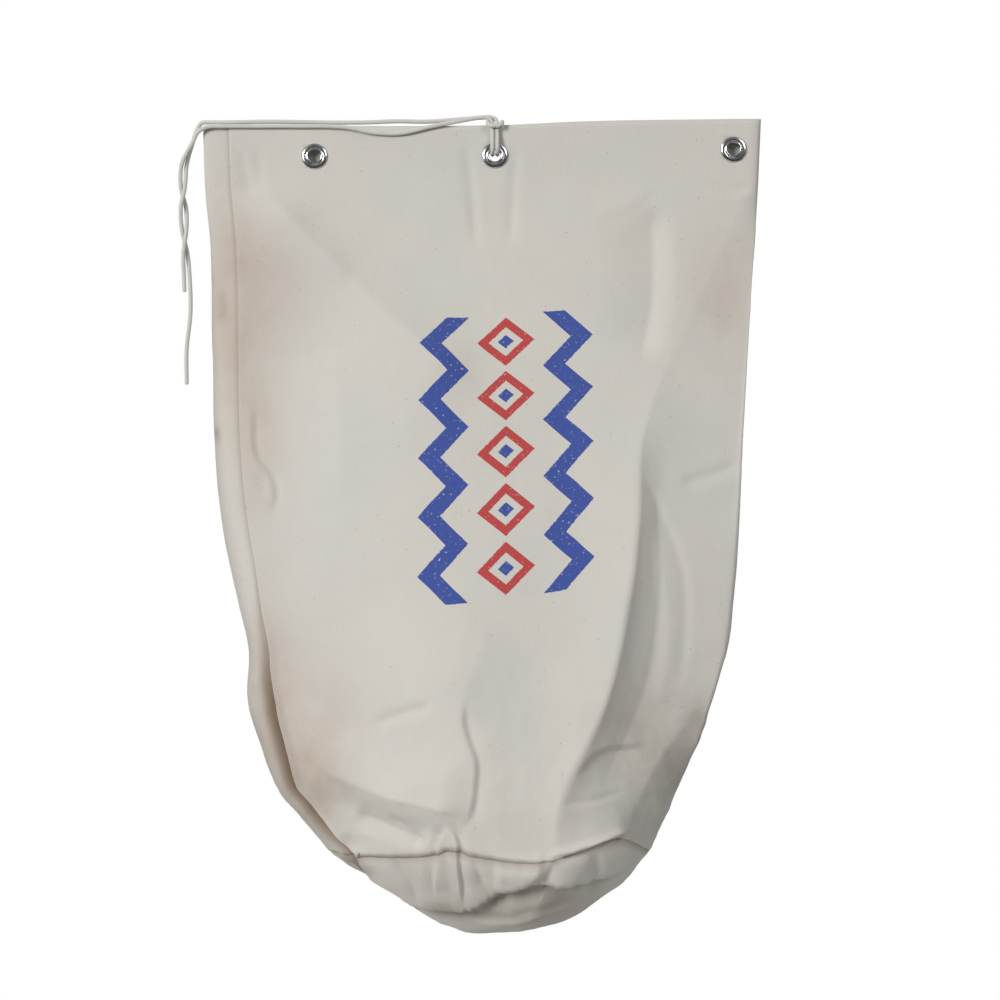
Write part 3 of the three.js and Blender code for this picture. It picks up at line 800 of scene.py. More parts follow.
@functools.lru_cache(maxsize=1)
def weave_group():
    """Plain weave: a pillow for each crossing of threads, and threads of uneven thickness."""
    inputs = (("Cloth", VECTOR), ("Thread", FLOAT))
    group, given, made = new_group("Plain weave", inputs, (("Height", FLOAT), ("Tone", FLOAT)))
    cloth = given.outputs["Cloth"]
    parts = add_node(group, "ShaderNodeSeparateXYZ", {0: cloth})
    pillows = []
    for axis in (0, 1):
        turns = calc(group, "DIVIDE", parts.outputs[axis], given.outputs["Thread"])
        wave = calc(group, "SINE", calc(group, "MULTIPLY", turns, math.pi))
        pillows.append(calc(group, "ABSOLUTE", wave))
    pillow = calc(group, "MULTIPLY", *pillows)
    warp = cloud(group, stretched(group, cloth, (900, 28, 1)), detail=1.0)
    weft = cloud(group, stretched(group, cloth, (28, 900, 1)), detail=1.0)
    uneven = calc(group, "ADD", warp, weft)
    height = calc(group, "ADD", calc(group, "MULTIPLY", pillow, 0.6), calc(group, "MULTIPLY", uneven, 0.25))
    put(made.inputs["Height"], height)
    put(made.inputs["Tone"], uneven)
    return group


@functools.lru_cache(maxsize=1)
def fleck_group():
    """Sparse dark specks of seed husk spun into the thread."""
    inputs = (("Cloth", VECTOR), ("Spacing", FLOAT), ("Share", FLOAT))
    group, given, made = new_group("Husk flecks", inputs, (("Mask", FLOAT),))
    scale = calc(group, "DIVIDE", 1.0, given.outputs["Spacing"])
    inputs = {"Vector": stretched(group, given.outputs["Cloth"], (1, 0.6, 1)), "Scale": scale}
    cells = add_node(group, "ShaderNodeTexVoronoi", inputs)
    tone = add_node(group, "ShaderNodeSeparateColor", {0: cells.outputs["Color"]})
    chosen = calc(group, "LESS_THAN", tone.outputs[0], given.outputs["Share"])
    radius = calc(group, "ADD", calc(group, "MULTIPLY", tone.outputs[1], 0.06), 0.015)
    outside = calc(group, "SUBTRACT", cells.outputs["Distance"], radius)
    near = calc(group, "SUBTRACT", 1.0, ramp(group, outside, 0, 0.03))
    put(made.inputs["Mask"], calc(group, "MULTIPLY", near, chosen))
    return group


@functools.lru_cache(maxsize=1)
def soil_group():
    """Breaks a soft mask of dirt up into blotches, and the less so the more evenness it has."""
    inputs = (("Place", VECTOR), ("Amount", FLOAT), ("Evenness", FLOAT))
    group, given, made = new_group("Blotchy soil", inputs, (("Mask", FLOAT),))
    blotch = cloud(group, given.outputs["Place"], scale=16.0, detail=5.0, roughness=0.6)
    speckle = cloud(group, given.outputs["Place"], scale=70.0, detail=3.0, roughness=0.6)
    broken = calc(group, "ADD", ramp(group, blotch, 0.25, 0.75), calc(group, "MULTIPLY", speckle, 0.4))
    average = 0.7
    missing = calc(group, "SUBTRACT", average, broken)
    calmed = calc(group, "ADD", broken, calc(group, "MULTIPLY", missing, given.outputs["Evenness"]))
    put(made.inputs["Mask"], calc(group, "MULTIPLY", calmed, given.outputs["Amount"]))
    return group


def group_node(tree, group, **inputs):
    """Places a node group with its values."""
    node = add_node(tree, "ShaderNodeGroup", node_tree=group)
    for name, value in inputs.items():
        put(node.inputs[name], value)
    return node


def new_material(name, constants):
    """A material whose Principled shader has some constant values."""
    material = bpy.data.materials.new(name)
    material.use_nodes = True
    shader = material.node_tree.nodes["Principled BSDF"]
    for socket, value in constants.items():
        shader.inputs[socket].default_value = value
    return material, material.node_tree, shader


def canvas_material(name, looks, soiling):
    """Natural cotton canvas: weave, clouding, blush, dirt, painted shade with dust on the underside, stains,
    husk flecks, and painted shade with grime in the seams.
    """
    constants = {"Sheen Weight": 0.12, "Sheen Roughness": 0.5, "Specular IOR Level": 0.2}
    material, tree, shader = new_material(name, constants)
    cloth = cloth_vector(tree)
    space = space_vector(tree)
    weave = group_node(tree, weave_group(), Cloth=cloth, Thread=looks.thread)
    flecks = group_node(tree, fleck_group(), Cloth=cloth, Spacing=0.0075, Share=0.55)
    clouding = cloud(tree, space, scale=9.0, detail=4.0, roughness=0.55)
    blush = group_node(tree, soil_group(), Place=space, Amount=attribute(tree, "blush"), Evenness=0.65)
    dirt = calc(tree, "ADD", attribute(tree, "soil"), soiling)
    soil = group_node(tree, soil_group(), Place=space, Amount=dirt)
    rust = group_node(tree, soil_group(), Place=space, Amount=attribute(tree, "rust"))
    colour = mixed(tree, ramp(tree, weave.outputs["Tone"], 0.6, 1.4), looks.canvas_shade, looks.canvas)
    colour = stained(tree, colour, ramp(tree, clouding, 0.35, 0.75), 0.35, looks.canvas_cool)
    colour = stained(tree, colour, blush.outputs["Mask"], 1.0, looks.blush)
    colour = stained(tree, colour, soil.outputs["Mask"], 0.75, looks.soil)
    # Painted shade on the underside, with some dust, in the soil colour
    colour = stained(tree, colour, attribute(tree, "underside_shade_and_dust"), 0.75, looks.soil)
    colour = stained(tree, colour, rust.outputs["Mask"], 1.0, looks.rust)
    colour = stained(tree, colour, flecks.outputs["Mask"], 0.55, looks.fleck)
    # Painted shade, with some grime, in the side seam and the base seam
    colour = stained(tree, colour, attribute(tree, "seam_shade_and_grime"), 0.9, looks.seam_shade_and_grime)
    set_surface(shader, colour, clouding, (0.86, 0.98), weave.outputs["Height"], 0.45, 0.0004)
    return material, tree, shader, colour, cloth


def band(tree, value, middle, half_width, softness):
    """1 within half a width of a middle value, 0 outside."""
    away = calc(tree, "ABSOLUTE", calc(tree, "SUBTRACT", value, middle))
    return calc(tree, "SUBTRACT", 1.0, ramp(tree, away, half_width - softness, half_width + softness))


def printed_canvas_material(looks):
    """The body's canvas, with a worn print of zigzags and diamonds on the front."""
    material, tree, shader, colour, cloth = canvas_material("Printed canvas", looks, looks.body_soiling)
    blur = 0.0003
    stray = calc(tree, "SUBTRACT", cloud(tree, cloth, scale=420.0), 0.5)
    ragged = calc(tree, "MULTIPLY", stray, 0.0016)
    parts = add_node(tree, "ShaderNodeSeparateXYZ", {0: cloth})
    across = calc(tree, "ADD", parts.outputs[0], ragged)
    down = calc(tree, "ADD", parts.outputs[1], ragged)
    block = band(tree, down, looks.print_drop, looks.print_height / 2, blur)
    worn = ramp(tree, cloud(tree, cloth, scale=260.0, detail=4.0, roughness=0.7), 0.30, 0.40)
    ink = calc(tree, "MULTIPLY", calc(tree, "MULTIPLY", block, worn), 0.93)
    beside = calc(tree, "ABSOLUTE", calc(tree, "SUBTRACT", across, looks.print_across))
    half = looks.motif_height / 2
    top = looks.print_drop - looks.print_height / 2
    from_middle = calc(tree, "PINGPONG", calc(tree, "SUBTRACT", down, top + half), half)
    swing = calc(tree, "MULTIPLY", from_middle, looks.zigzag_swing / half)
    swung = calc(tree, "ADD", beside, swing)
    zigzag = band(tree, swung, looks.zigzag_across, looks.zigzag_stroke / 2, blur)
    slant = calc(tree, "DIVIDE", beside, looks.diamond_width / 2)
    diamond = calc(tree, "ADD", slant, calc(tree, "DIVIDE", from_middle, looks.diamond_height / 2))
    rim = band(tree, diamond, middle=0.8, half_width=0.2, softness=0.012)
    core = band(tree, diamond, middle=0.0, half_width=0.28, softness=0.012)
    blue = calc(tree, "ADD", zigzag, core)
    colour = mixed(tree, calc(tree, "MULTIPLY", blue, ink), colour, looks.blue_ink)
    colour = mixed(tree, calc(tree, "MULTIPLY", rim, ink), colour, looks.red_ink)
    put(shader.inputs["Base Color"], colour)
    return material


def chrome_material(looks):
    """Bright plated brass with fine scuffs."""
    material, tree, shader = new_material("Plated eyelet", {"Metallic": 1.0})
    space = space_vector(tree)
    scuff = cloud(tree, space, scale=900.0, detail=4.0, roughness=0.7)
    haze = ramp(tree, cloud(tree, space, scale=160.0), 0.35, 0.8)
    colour = mixed(tree, haze, looks.chrome, looks.chrome_dull)
    set_surface(shader, colour, scuff, (0.08, 0.26), scuff, 0.06, 0.0002)
    return material


def cord_material(name, looks):
    """White cotton yarn: fine fibres along the strands, with painted shade in the grooves between them."""
    constants = {"Sheen Weight": 0.2, "Sheen Roughness": 0.4, "Specular IOR Level": 0.2}
    material, tree, shader = new_material(name, constants)
    fibre = cloud(tree, stretched(tree, cloth_vector(tree), (2600, 700, 1)))
    # Painted shade in the grooves between the strands
    groove = ramp(tree, attribute(tree, "groove"), 0.2, 0.65)
    dirt = cloud(tree, space_vector(tree), scale=30.0, detail=4.0, roughness=0.6)
    colour = mixed(tree, ramp(tree, fibre, 0.3, 0.7), looks.cord_shade, looks.cord)
    colour = stained(tree, colour, groove, 0.9, looks.cord_groove_shade)
    colour = stained(tree, colour, ramp(tree, dirt, 0.45, 0.8), 0.4, looks.cord_shade)
    set_surface(shader, colour, fibre, (0.8, 0.95), fibre, 0.3, 0.0003)
    return material


# Cords

def cord_line(route, spacing):
    """Evenly spaced points on the smooth curve through a cord's route, and how far along it they lie."""
    route = np.array(route, float)
    padded = np.vstack((2 * route[0] - route[1], route, 2 * route[-1] - route[-2]))
    knots = np.sqrt(np.linalg.norm(np.diff(padded, axis=0), axis=1))
    t = np.linspace(0, 1, ROUTE_STEPS, endpoint=False)[:, None]
    points = []
    for index in range(1, len(padded) - 2):
        before, start, end, after = padded[index - 1:index + 3]
        gap_before, gap, gap_after = knots[index - 1:index + 2]
        leave = (start - before) / gap_before - (end - before) / (gap_before + gap) + (end - start) / gap
        arrive = (end - start) / gap - (after - start) / (gap + gap_after) + (after - end) / gap_after
        points.append(cubic(start, end, leave * gap, arrive * gap, t))
    points = np.vstack((*points, route[-1:]))
    ways = way_along(points)
    at = np.linspace(0, ways[-1], int(ways[-1] / spacing) + 1)
    return points_at(at, ways, points), at


def carried_frames(line):
    """Two directions across a line at each of its points, carried along it without twist."""
    forward = np.gradient(line, axis=0)
    forward /= np.linalg.norm(forward, axis=1, keepdims=True)
    across = np.zeros_like(line)
    start = np.cross(forward[0], OFF_ROUTE)
    across[0] = start / np.linalg.norm(start)
    for index in range(1, len(line)):
        carried = across[index - 1] - forward[index] * (across[index - 1] @ forward[index])
        across[index] = carried / np.linalg.norm(carried)
    return across, np.cross(forward, across)


def braid_profile(angle, along, pitch):
    """Height of a braid's strands, 0 in the grooves and 1 on top, by the angle round it and the way along."""
    first = BRAID_STRANDS * angle / math.pi + along / pitch
    second = BRAID_STRANDS * angle / math.pi - along / pitch
    cell = (np.floor(first) + np.floor(second)) % 2
    one = 2 * (first % 1) - 1
    two = 2 * (second % 1) - 1
    across = np.where(cell < 0.5, one, two)
    lengthways = np.where(cell < 0.5, two, one)
    return np.sqrt(np.clip(1 - across ** 2, 0, 1)) * (1 - STRAND_DIP * lengthways ** 2)


def add_cord(name, route, sizes, material):
    """A braided cord along a route, closed at both ends and rounded at its free one."""
    diameter = sizes.diameter / MM
    line, along = cord_line(route, sizes.step / MM)
    across, beside = carried_frames(line)
    angle = np.linspace(0, 2 * math.pi, sizes.sides, endpoint=False)[None]
    braid = braid_profile(angle, along[:, None], sizes.braid_pitch / MM)
    to_end = np.clip((along[-1] - along[:, None]) / (diameter * END_SHARE), 0, 1)
    rounding = np.sqrt(1 - (1 - to_end) ** 2 * END_ROUNDING)
    radius = diameter / 2 * (1 - BRAID_DEPTH + BRAID_DEPTH * braid) * rounding
    ring = across[:, None] * np.cos(angle)[..., None] + beside[:, None] * np.sin(angle)[..., None]
    tube = line[:, None] + ring * radius[..., None]
    rows, columns = tube.shape[:2]
    faces, corners = ring_faces(rows, columns)
    faces = [face[::-1] for face in faces]
    around = corners[..., 1] * diameter * math.pi / columns
    corner_uv = np.stack((around, along[corners[..., 0]]), axis=-1)[:, ::-1]
    caps = [list(range(columns)), list(range(rows * columns - 1, (rows - 1) * columns - 1, -1))]
    cap_uv = np.zeros((len(caps) * columns, 2))
    piece = new_object(name + "_braid", tube.reshape(-1, 3), faces + caps)
    set_uv(piece, np.concatenate((corner_uv.reshape(-1, 2), cap_uv)))
    # How deep each point lies in a groove, which sets the painted shade between the strands
    add_share(piece, "groove", 1 - braid)
    piece.data.materials.append(material)
    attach(piece, BODY)
    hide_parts(name)


# Sizes and colours that a user would change

def length_property(name, description, default):
    """A length that a user may change, in metres"""
    return bpy.props.FloatProperty(name=name, description=description, default=default, unit="LENGTH",
                                   precision=5)


def colour_property(name, description, default):
    """A colour that a user may change"""
    return bpy.props.FloatVectorProperty(name=name, description=description, default=(*default, 1.0), size=4,
                                         subtype="COLOR", min=0.0, max=1.0)


class BagStageSettings(bpy.types.PropertyGroup):
    """Light, floor and background"""

    key_power: bpy.props.FloatProperty(
        name="Key light", description="Power of the light at the upper left", default=296.0, unit="POWER")
    fill_power: bpy.props.FloatProperty(
        name="Fill light", description="Power of the light at the right", default=92.0, unit="POWER")
    sky: bpy.props.FloatProperty(
        name="Sky", description="Strength of the light that comes from all around", default=0.42)
    floor_drop: length_property("Floor", "How far the floor lies below the mouth", 1.25)
    floor_radius: length_property("Floor radius", "Radius of the floor", 0.85)
    floor: colour_property("Floor colour", "Colour of the floor", (0.80, 0.80, 0.79))


class BagCanvasSettings(bpy.types.PropertyGroup):
    """The canvas and its print"""

    wall: length_property("Wall", "Thickness of the canvas", 0.0016)
    hole: length_property("Hole", "Radius cut out of the canvas behind an eyelet", 0.0102)
    thread: length_property("Thread", "Spacing of the threads of the weave", 0.00085)
    flat_width: length_property("Flat width", "Width that the body was cut to, round the bag", 1.25)
    flat_height: length_property("Flat height", "Height that the body was cut to", 0.80)
    base_width: length_property("Base width", "Diameter that the round base was cut to", 0.388)
    canvas: colour_property("Canvas", "Colour of the thread's upper side", (0.665, 0.640, 0.585))
    canvas_shade: colour_property("Canvas shade", "Colour between the threads", (0.640, 0.615, 0.560))
    canvas_cool: colour_property("Canvas cool", "Cooler clouds in the cloth", (0.600, 0.595, 0.570))
    blush: colour_property("Blush", "Reddish tint from age", (0.500, 0.405, 0.340))
    # Also the colour of the painted shade on the underside
    soil: colour_property("Soil", "Colour of the dirt", (0.330, 0.300, 0.250))
    rust: colour_property("Rust", "Colour of the small stains", (0.230, 0.150, 0.090))
    fleck: colour_property("Fleck", "Colour of the husk flecks", (0.270, 0.225, 0.165))
    # Colour of the painted shade and grime in the seams
    seam_shade_and_grime: colour_property("Crevice", "Colour of the grime in the seams", (0.235, 0.160, 0.100))
    body_soiling: bpy.props.FloatProperty(
        name="Body soiling", description="Dirt all over the body", default=0.05, subtype="FACTOR")
    base_soiling: bpy.props.FloatProperty(
        name="Base soiling", description="Dirt all over the base", default=0.03, subtype="FACTOR")
    blue_ink: colour_property("Blue ink", "Colour of the zigzags", (0.013, 0.055, 0.330))
    red_ink: colour_property("Red ink", "Colour of the diamonds", (0.500, 0.030, 0.032))
    print_across: length_property("Print across", "Middle of the print, from the panel's middle", -0.004)
    print_drop: length_property("Print drop", "Middle of the print, below the mouth", 0.376)
    print_height: length_property("Print height", "Length of the print", 0.320)
    motif_height: length_property("Motif height", "Height that one motif repeats at", 0.064)
    zigzag_across: length_property("Zigzag across", "Distance of a zigzag from the print's middle", 0.082)
    zigzag_swing: length_property("Zigzag swing", "Width that a zigzag swings over", 0.030)
    zigzag_stroke: length_property("Zigzag stroke", "Width of a zigzag's stroke", 0.024)
    diamond_width: length_property("Diamond width", "Width of a diamond", 0.062)
    diamond_height: length_property("Diamond height", "Height of a diamond", 0.058)


class BagCordSettings(bpy.types.PropertyGroup):
    """The drawcord"""

    diameter: length_property("Diameter", "Diameter of the cord", 0.0048)
    step: length_property("Step", "Spacing of the rings along the cord", 0.0005)
    sides: bpy.props.IntProperty(name="Sides", description="Sides of the cord", default=32, min=12)
    braid_pitch: length_property("Braid pitch", "Length of one crossing of the braid", 0.0038)
    cord: colour_property("Cord", "Colour of the yarn", (0.900, 0.885, 0.830))
    cord_shade: colour_property("Cord shade", "Greyer yarn", (0.740, 0.730, 0.680))
    # Colour of the painted shade in the grooves between the strands
    cord_groove_shade: colour_property("Cord groove", "Colour between the strands", (0.120, 0.112, 0.098))


class BagEyeletSettings(bpy.types.PropertyGroup):
    """The eyelets"""

    segments: bpy.props.IntProperty(
        name="Segments", description="Segments round an eyelet", default=48, min=16)
    chrome: colour_property("Plating", "Colour of the plating", (0.780, 0.790, 0.800))
    chrome_dull: colour_property("Dull plating", "Colour where it is hazy", (0.560, 0.570, 0.580))


class BagStitchSettings(bpy.types.PropertyGroup):
    """The stitches of the side seam"""

    pitch: length_property("Pitch", "Spacing of the stitches", 0.0034)
    length: length_property("Length", "Length of one stitch", 0.0026)
    thread: length_property("Thread", "Thickness of the sewing thread", 0.0006)
    inset: length_property("Inset", "Distance from the seam's edge", 0.0028)


# Operators

class BAG_OT_stage(bpy.types.Operator):
    """Sets up the camera, the studio light, the floor and the background"""

    bl_idname = "bag.stage"
    bl_label = "Set up the stage"

    sensor_width = 36.0
    light_target = (0, 0, -0.45)
    floor_cloud = (0.84, 0.84, 0.83, 1.0)
    sky_white = (1.0, 1.0, 1.0, 1.0)
    sky_low = (0.25, 0.24, 0.23, 1.0)
    sky_before = (0.4, 0.4, 0.4, 1.0)

    def add_area(self, name, power, size, place):
        """A square light that shines at the bag's middle"""
        light = bpy.data.lights.new(name, "AREA")
        light.energy = power
        light.size = size
        lamp = bpy.data.objects.new(name, light)
        lamp.location = place
        lamp.rotation_mode = "QUATERNION"
        lamp.rotation_quaternion = (Vector(self.light_target) - Vector(place)).to_track_quat("-Z", "Y")
        bpy.context.scene.collection.objects.link(lamp)

    def add_camera(self, scene):
        """The camera, level and square to the mouth"""
        camera = bpy.data.cameras.new("view")
        camera.sensor_width = self.sensor_width
        camera.lens = camera.sensor_width * VIEW_DISTANCE / VIEW_WIDTH
        stand = bpy.data.objects.new("view", camera)
        stand.location = (VIEW_X * MM, -VIEW_DISTANCE * MM, -VIEW_DROP * MM)
        stand.rotation_euler = (math.pi / 2, 0, 0)
        scene.collection.objects.link(stand)
        scene.camera = stand

    def add_floor(self, settings):
        """A round pale floor below the bag"""
        bpy.ops.object.select_all(action="DESELECT")
        bpy.ops.mesh.primitive_circle_add(vertices=128, radius=settings.floor_radius, fill_type="NGON",
                                          location=(0, 0, -settings.floor_drop))
        floor = bpy.context.object
        floor.name = "floor"
        material, tree, shader = new_material("Pale floor", {"Roughness": 0.8})
        tone = ramp(tree, cloud(tree, space_vector(tree), scale=6.0), 0.2, 0.8)
        put(shader.inputs["Base Color"], mixed(tree, tone, settings.floor, self.floor_cloud))
        floor.data.materials.append(material)

    def set_world(self, scene, settings):
        """A white background, and light from all around that is weaker from below and from before the bag"""
        world = bpy.data.worlds.new("studio")
        world.use_nodes = True
        tree = world.node_tree
        tree.nodes.clear()
        direction = add_node(tree, "ShaderNodeTexCoord").outputs["Generated"]
        parts = add_node(tree, "ShaderNodeSeparateXYZ", {0: direction})
        upper = mixed(tree, ramp(tree, parts.outputs[2], -0.5, 0.7), self.sky_low, self.sky_white)
        behind = mixed(tree, ramp(tree, parts.outputs[1], -0.9, 0.1), self.sky_before, self.sky_white)
        tone = mixed(tree, 1.0, upper, behind, "MULTIPLY")
        around = add_node(tree, "ShaderNodeBackground", {"Color": tone, "Strength": settings.sky})
        backdrop = add_node(tree, "ShaderNodeBackground", {"Color": self.sky_white, "Strength": 1.0})
        seen = add_node(tree, "ShaderNodeLightPath").outputs["Is Camera Ray"]
        both = add_node(tree, "ShaderNodeMixShader", {0: seen, 1: around.outputs[0], 2: backdrop.outputs[0]})
        output = add_node(tree, "ShaderNodeOutputWorld")
        put(output.inputs["Surface"], both.outputs[0])
        scene.world = world
        scene.view_settings.view_transform = "Standard"

    def execute(self, context):
        settings = context.scene.bag_stage
        self.add_camera(context.scene)
        self.add_area("key", settings.key_power, size=2.2, place=(-3.9, -4.6, 1.1))
        self.add_area("fill", settings.fill_power, size=2.4, place=(3.4, -4.4, 2.2))
        self.add_floor(settings)
        self.set_world(context.scene, settings)
        return {"FINISHED"}


class BAG_OT_cords(bpy.types.Operator):
    """Lays the two halves of the drawcord along their routes"""

    bl_idname = "bag.cords"
    bl_label = "Lay the cords"

    def execute(self, context):
        sizes = context.scene.bag_cord
        material = cord_material("Cotton cord", sizes)
        add_cord("cord_long", LONG_ROUTE, sizes, material)
        add_cord("cord_short", SHORT_ROUTE, sizes, material)
        return {"FINISHED"}


class BAG_OT_body(bpy.types.Operator):
    """Hangs the tube of canvas from its mouth"""

    bl_idname = "bag.body"
    bl_label = "Hang the body"

    def cloth_places(self, grid):
        """Places on the flat cloth: round the tube from the panel's middle, and down from the mouth"""
        closed = np.concatenate((grid, grid[:, :1]), axis=1)
        around = way_along(closed, axis=1)
        front = COLUMNS["front"]
        middles = [np.interp(PANEL_MIDDLE, row[:front, 0], way[:front]) for row, way in zip(grid, around)]
        around -= np.array(middles)[:, None]
        return np.stack((around, way_along(closed)), axis=-1)

    def execute(self, context):
        settings = context.scene.bag_canvas
        shape = canvas_shape()
        rows = shape.seam_row + 1
        grid = shape.grid[:rows]
        faces, corners = ring_faces(rows, grid.shape[1], clear_of_eyelets(grid, settings.hole / MM))
        piece = new_object("canvas_body_cloth", grid.reshape(-1, 3), faces)
        set_uv(piece, self.cloth_places(grid)[corners[..., 0], corners[..., 1]])
        set_tints(piece, grid, shape.normals[:rows])
        # Painted shade and grime along the side seam and the base seam
        add_share(piece, "seam_shade_and_grime", seam_shade_and_grime_shares(shape)[:rows])
        thicken(piece, settings.wall)
        piece.data.materials.append(printed_canvas_material(settings))
        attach(piece, BODY)
        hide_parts("canvas_body")
        return {"FINISHED"}


class BAG_OT_base(bpy.types.Operator):
    """Sews the round base into the body"""

    bl_idname = "bag.base"
    bl_label = "Sew in the base"

    def base_rows(self, shape, wall):
        """Points and normals of the base, from the allowance that stands up inside the body on"""
        rings = shape.grid[shape.seam_row:] - (0, 0, SEAM_GAP)
        normals = shape.normals[shape.seam_row:]
        inside = rings[:1] - normals[:1] * (wall / MM + SEAM_GAP)
        allowance = [inside + (0, 0, lift) for lift in ALLOWANCE_LIFTS]
        inner_normals = np.repeat(normals[:1], len(ALLOWANCE_LIFTS), axis=0)
        return np.concatenate((*allowance, rings)), np.concatenate((inner_normals, normals))

    def cloth_places(self, grid, bottom):
        """Places on the flat disc: straight out from its middle, as far as the cloth runs"""
        rays = np.concatenate((grid, np.broadcast_to(bottom, grid[:1].shape)))
        out = way_along(rays[::-1])[:0:-1]
        angle = np.arctan2(grid[..., 1] - bottom[1], grid[..., 0] - bottom[0])
        cloth = np.stack((np.cos(angle) * out, np.sin(angle) * out), axis=-1)
        return np.concatenate((cloth, cloth[:, :1]), axis=1)

    def execute(self, context):
        settings = context.scene.bag_canvas
        shape = canvas_shape()
        grid, normals = self.base_rows(shape, settings.wall)
        bottom = shape.bottom - (0, 0, SEAM_GAP)
        rows, columns = grid.shape[:2]
        faces, corners = ring_faces(rows, columns)
        last = (rows - 1) * columns
        fan = [[last + column, rows * columns, last + (column + 1) % columns] for column in range(columns)]
        places = np.concatenate((grid.reshape(-1, 3), bottom[None]))
        piece = new_object("canvas_base_cloth", places, faces + fan)
        cloth = self.cloth_places(grid, bottom)
        quad_uv = cloth[corners[..., 0], corners[..., 1]].reshape(-1, 2)
        fan_uv = [(cloth[-1, column], (0, 0), cloth[-1, column + 1]) for column in range(columns)]
        set_uv(piece, np.concatenate((quad_uv, np.array(fan_uv).reshape(-1, 2))))
        set_tints(piece, places, np.concatenate((normals.reshape(-1, 3), [(0, 0, -1)])))
        # The allowance inside the body is fully darkened by painted shade, and the rest takes the seams'
        # painted shade and grime
        inner = np.ones(len(ALLOWANCE_LIFTS) * columns)
        seam_shade_and_grime = seam_shade_and_grime_shares(shape)[shape.seam_row:].ravel()
        add_share(piece, "seam_shade_and_grime", np.concatenate((inner, seam_shade_and_grime, [0])))
        thicken(piece, settings.wall)
        material = canvas_material("Base canvas", settings, settings.base_soiling)[0]
        piece.data.materials.append(material)
        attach(piece, BODY)
        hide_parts("canvas_base")
        return {"FINISHED"}


class BAG_OT_stitching(bpy.types.Operator):
    """Runs a row of stitches down the side seam"""

    bl_idname = "bag.stitching"
    bl_label = "Stitch the side seam"

    # A stitch's thickness from end to end, its sides, how deep it sinks in, and the seam's bare ends
    bulges = np.array((0.15, 0.75, 1.0, 0.75, 0.15))
    sides = 6
    sunk = 0.9
    bare_end = 4.0

    def seam_line(self, shape, inset):
        """Points and normals of the line beside the seam's edge that the stitches follow"""
        rows = shape.seam_row + 1
        around = way_along(shape.grid[:rows], axis=1)
        column = np.argmax(around > inset, axis=1)
        row = np.arange(rows)
        before = around[row, column - 1]
        share = ((inset - before) / (around[row, column] - before))[:, None]
        line = shape.grid[row, column - 1] * (1 - share) + shape.grid[row, column] * share
        return line, shape.normals[row, column]

    def stitch_rings(self, places, normals, thread):
        """Rings of points round one stitch, by its places on the seam"""
        beside = np.cross(np.gradient(places, axis=0), normals)
        beside /= np.linalg.norm(beside, axis=1, keepdims=True)
        angle = np.linspace(0, 2 * math.pi, self.sides, endpoint=False)
        ring = beside[:, None] * np.cos(angle)[:, None] + normals[:, None] * np.sin(angle)[:, None]
        raised = places + normals * (self.bulges[:, None] - self.sunk) * thread / 2
        return raised[:, None] + ring * thread / 2 * self.bulges[:, None, None]

    def model_stitches(self, shape, settings):
        """All stitches as one mesh, each a short closed tube that is thickest in its middle"""
        line, normals = self.seam_line(shape, settings.inset / MM)
        ways = way_along(line)
        along = np.linspace(-0.5, 0.5, len(self.bulges)) * settings.length / MM
        quads = ring_faces(len(self.bulges), self.sides)[0]
        first_cap = list(range(self.sides))[::-1]
        last_cap = [(len(self.bulges) - 1) * self.sides + corner for corner in range(self.sides)]
        vertices = []
        faces = []
        for middle in np.arange(self.bare_end, ways[-1] - self.bare_end, settings.pitch / MM):
            at = middle + along
            places = points_at(at, ways, line)
            rings = self.stitch_rings(places, points_at(at, ways, normals), settings.thread / MM)
            first = len(vertices)
            vertices.extend(rings.reshape(-1, 3))
            faces.extend([[first + corner for corner in face] for face in (*quads, first_cap, last_cap)])
        return new_object("side_seam_stitches", np.array(vertices), faces)

    def execute(self, context):
        piece = self.model_stitches(canvas_shape(), context.scene.bag_stitch)
        make_active(piece)
        bpy.ops.object.mode_set(mode="EDIT")
        bpy.ops.mesh.select_all(action="SELECT")
        bpy.ops.mesh.normals_make_consistent(inside=False)
        bpy.ops.object.mode_set(mode="OBJECT")
        material, tree, shader = new_material("Sewing thread", {"Roughness": 0.8})
        tone = cloud(tree, space_vector(tree), scale=500.0)
        looks = context.scene.bag_canvas
        put(shader.inputs["Base Color"], mixed(tree, tone, looks.canvas_shade, looks.canvas))
        piece.data.materials.append(material)
        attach(piece, BODY)
        return {"FINISHED"}


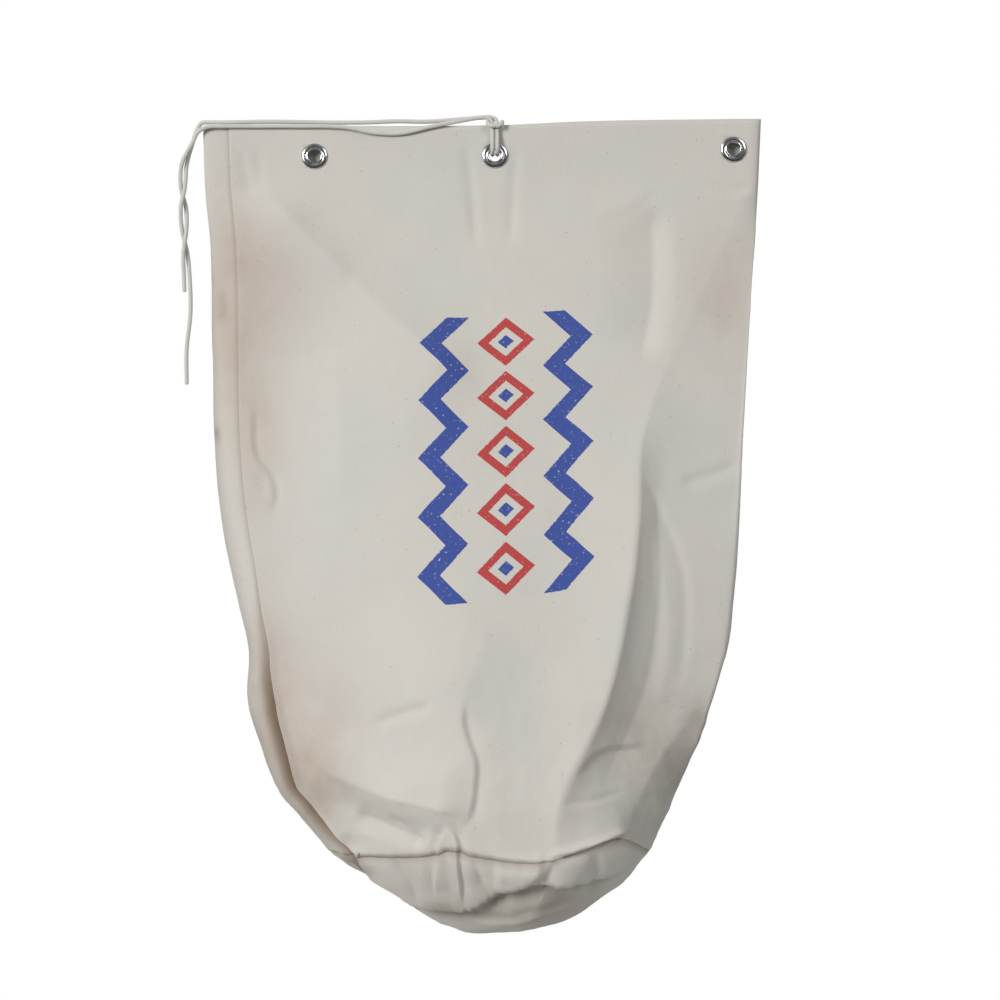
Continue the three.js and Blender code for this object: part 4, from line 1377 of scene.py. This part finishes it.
class BAG_OT_eyelets(bpy.types.Operator):
    """Sets a plated eyelet in each of the frame's eyelet holes"""

    bl_idname = "bag.eyelets"
    bl_label = "Set the eyelets"

    # Section of an eyelet, as radius and height over the middle of the canvas wall, and where its ends weld
    profile = (
        (8.0, 1.1), (13.5, 1.1), (13.9, 1.3), (14.0, 1.65), (13.6, 2.1), (12.4, 2.65), (11.0, 2.85),
        (10.0, 2.7), (9.4, 2.45), (9.1, 2.7), (8.6, 3.15), (8.0, 3.3), (7.3, 3.05), (6.85, 2.5), (6.7, 1.7),
        (6.7, -0.5), (6.7, -1.9), (7.0, -2.2), (12.6, -2.2), (13.3, -1.7), (13.2, -1.1), (8.0, -1.1),
    )
    weld = 0.01

    def model_eyelet(self, segments):
        """One eyelet round the Z axis, spun up ring by ring from its section"""
        bpy.ops.object.select_all(action="DESELECT")
        radius, height = self.profile[0]
        bpy.ops.mesh.primitive_circle_add(vertices=segments, radius=radius * MM, location=(0, 0, height * MM))
        eyelet = bpy.context.object
        bpy.ops.object.transform_apply(location=True)
        bpy.ops.object.mode_set(mode="EDIT")
        bpy.ops.mesh.select_all(action="SELECT")
        for next_radius, next_height in (*self.profile[1:], self.profile[0]):
            growth = next_radius / radius
            bpy.ops.mesh.extrude_region()
            bpy.ops.transform.resize(value=(growth, growth, 1), center_override=(0, 0, 0))
            bpy.ops.transform.translate(value=(0, 0, (next_height - height) * MM))
            radius, height = next_radius, next_height
        bpy.ops.mesh.select_all(action="SELECT")
        bpy.ops.mesh.remove_doubles(threshold=self.weld * MM)
        bpy.ops.mesh.normals_make_consistent(inside=False)
        bpy.ops.object.mode_set(mode="OBJECT")
        bpy.ops.object.shade_smooth()
        smooth = eyelet.modifiers.new("round", "SUBSURF")
        smooth.levels = 1
        smooth.render_levels = 1
        bpy.ops.object.modifier_apply(modifier=smooth.name)
        return eyelet

    def execute(self, context):
        settings = context.scene.bag_eyelet
        pattern = self.model_eyelet(settings.segments)
        pattern.data.materials.append(chrome_material(settings))
        depth = MOUTH_HALF_DEPTH * MM - context.scene.bag_canvas.wall / 2
        for name, place in eyelet_places().items():
            make_active(pattern)
            bpy.ops.object.duplicate()
            piece = bpy.context.object
            piece.name = name + "_ring"
            outwards = math.copysign(1, place.y)
            piece.rotation_euler = (-outwards * math.pi / 2, 0, 0)
            piece.location = (place.x, outwards * depth, place.z)
            bpy.ops.object.transform_apply(location=True, rotation=True, scale=True)
            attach(piece, BODY)
            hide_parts(name)
        bpy.data.objects.remove(pattern)
        return {"FINISHED"}


class BAG_PT_sidebar(bpy.types.Panel):
    """Lists the bag's pieces and their settings"""

    bl_idname = "BAG_PT_sidebar"
    bl_label = "Duffel Bag"
    bl_space_type = "VIEW_3D"
    bl_region_type = "UI"
    bl_category = "Duffel Bag"

    def draw(self, context):
        for operator in OPERATORS:
            self.layout.operator(operator.bl_idname)
        for name in SETTINGS:
            box = self.layout.box()
            group = getattr(context.scene, name)
            for key in group.__annotations__:
                box.prop(group, key)


SETTINGS = {
    "bag_stage": BagStageSettings,
    "bag_canvas": BagCanvasSettings,
    "bag_cord": BagCordSettings,
    "bag_eyelet": BagEyeletSettings,
    "bag_stitch": BagStitchSettings,
}
OPERATORS = (BAG_OT_stage, BAG_OT_cords, BAG_OT_body, BAG_OT_base, BAG_OT_stitching, BAG_OT_eyelets)


def register():
    for group in (*SETTINGS.values(), *OPERATORS, BAG_PT_sidebar):
        bpy.utils.register_class(group)
    for name, group in SETTINGS.items():
        setattr(bpy.types.Scene, name, bpy.props.PointerProperty(type=group))


def unregister():
    for name in SETTINGS:
        delattr(bpy.types.Scene, name)
    for group in reversed((*SETTINGS.values(), *OPERATORS, BAG_PT_sidebar)):
        bpy.utils.unregister_class(group)


def main():
    register()
    bpy.ops.bag.stage()
    bpy.ops.bag.cords()
    bpy.ops.bag.body()
    bpy.ops.bag.base()
    bpy.ops.bag.stitching()
    bpy.ops.bag.eyelets()


if __name__ == "__main__":
    main()
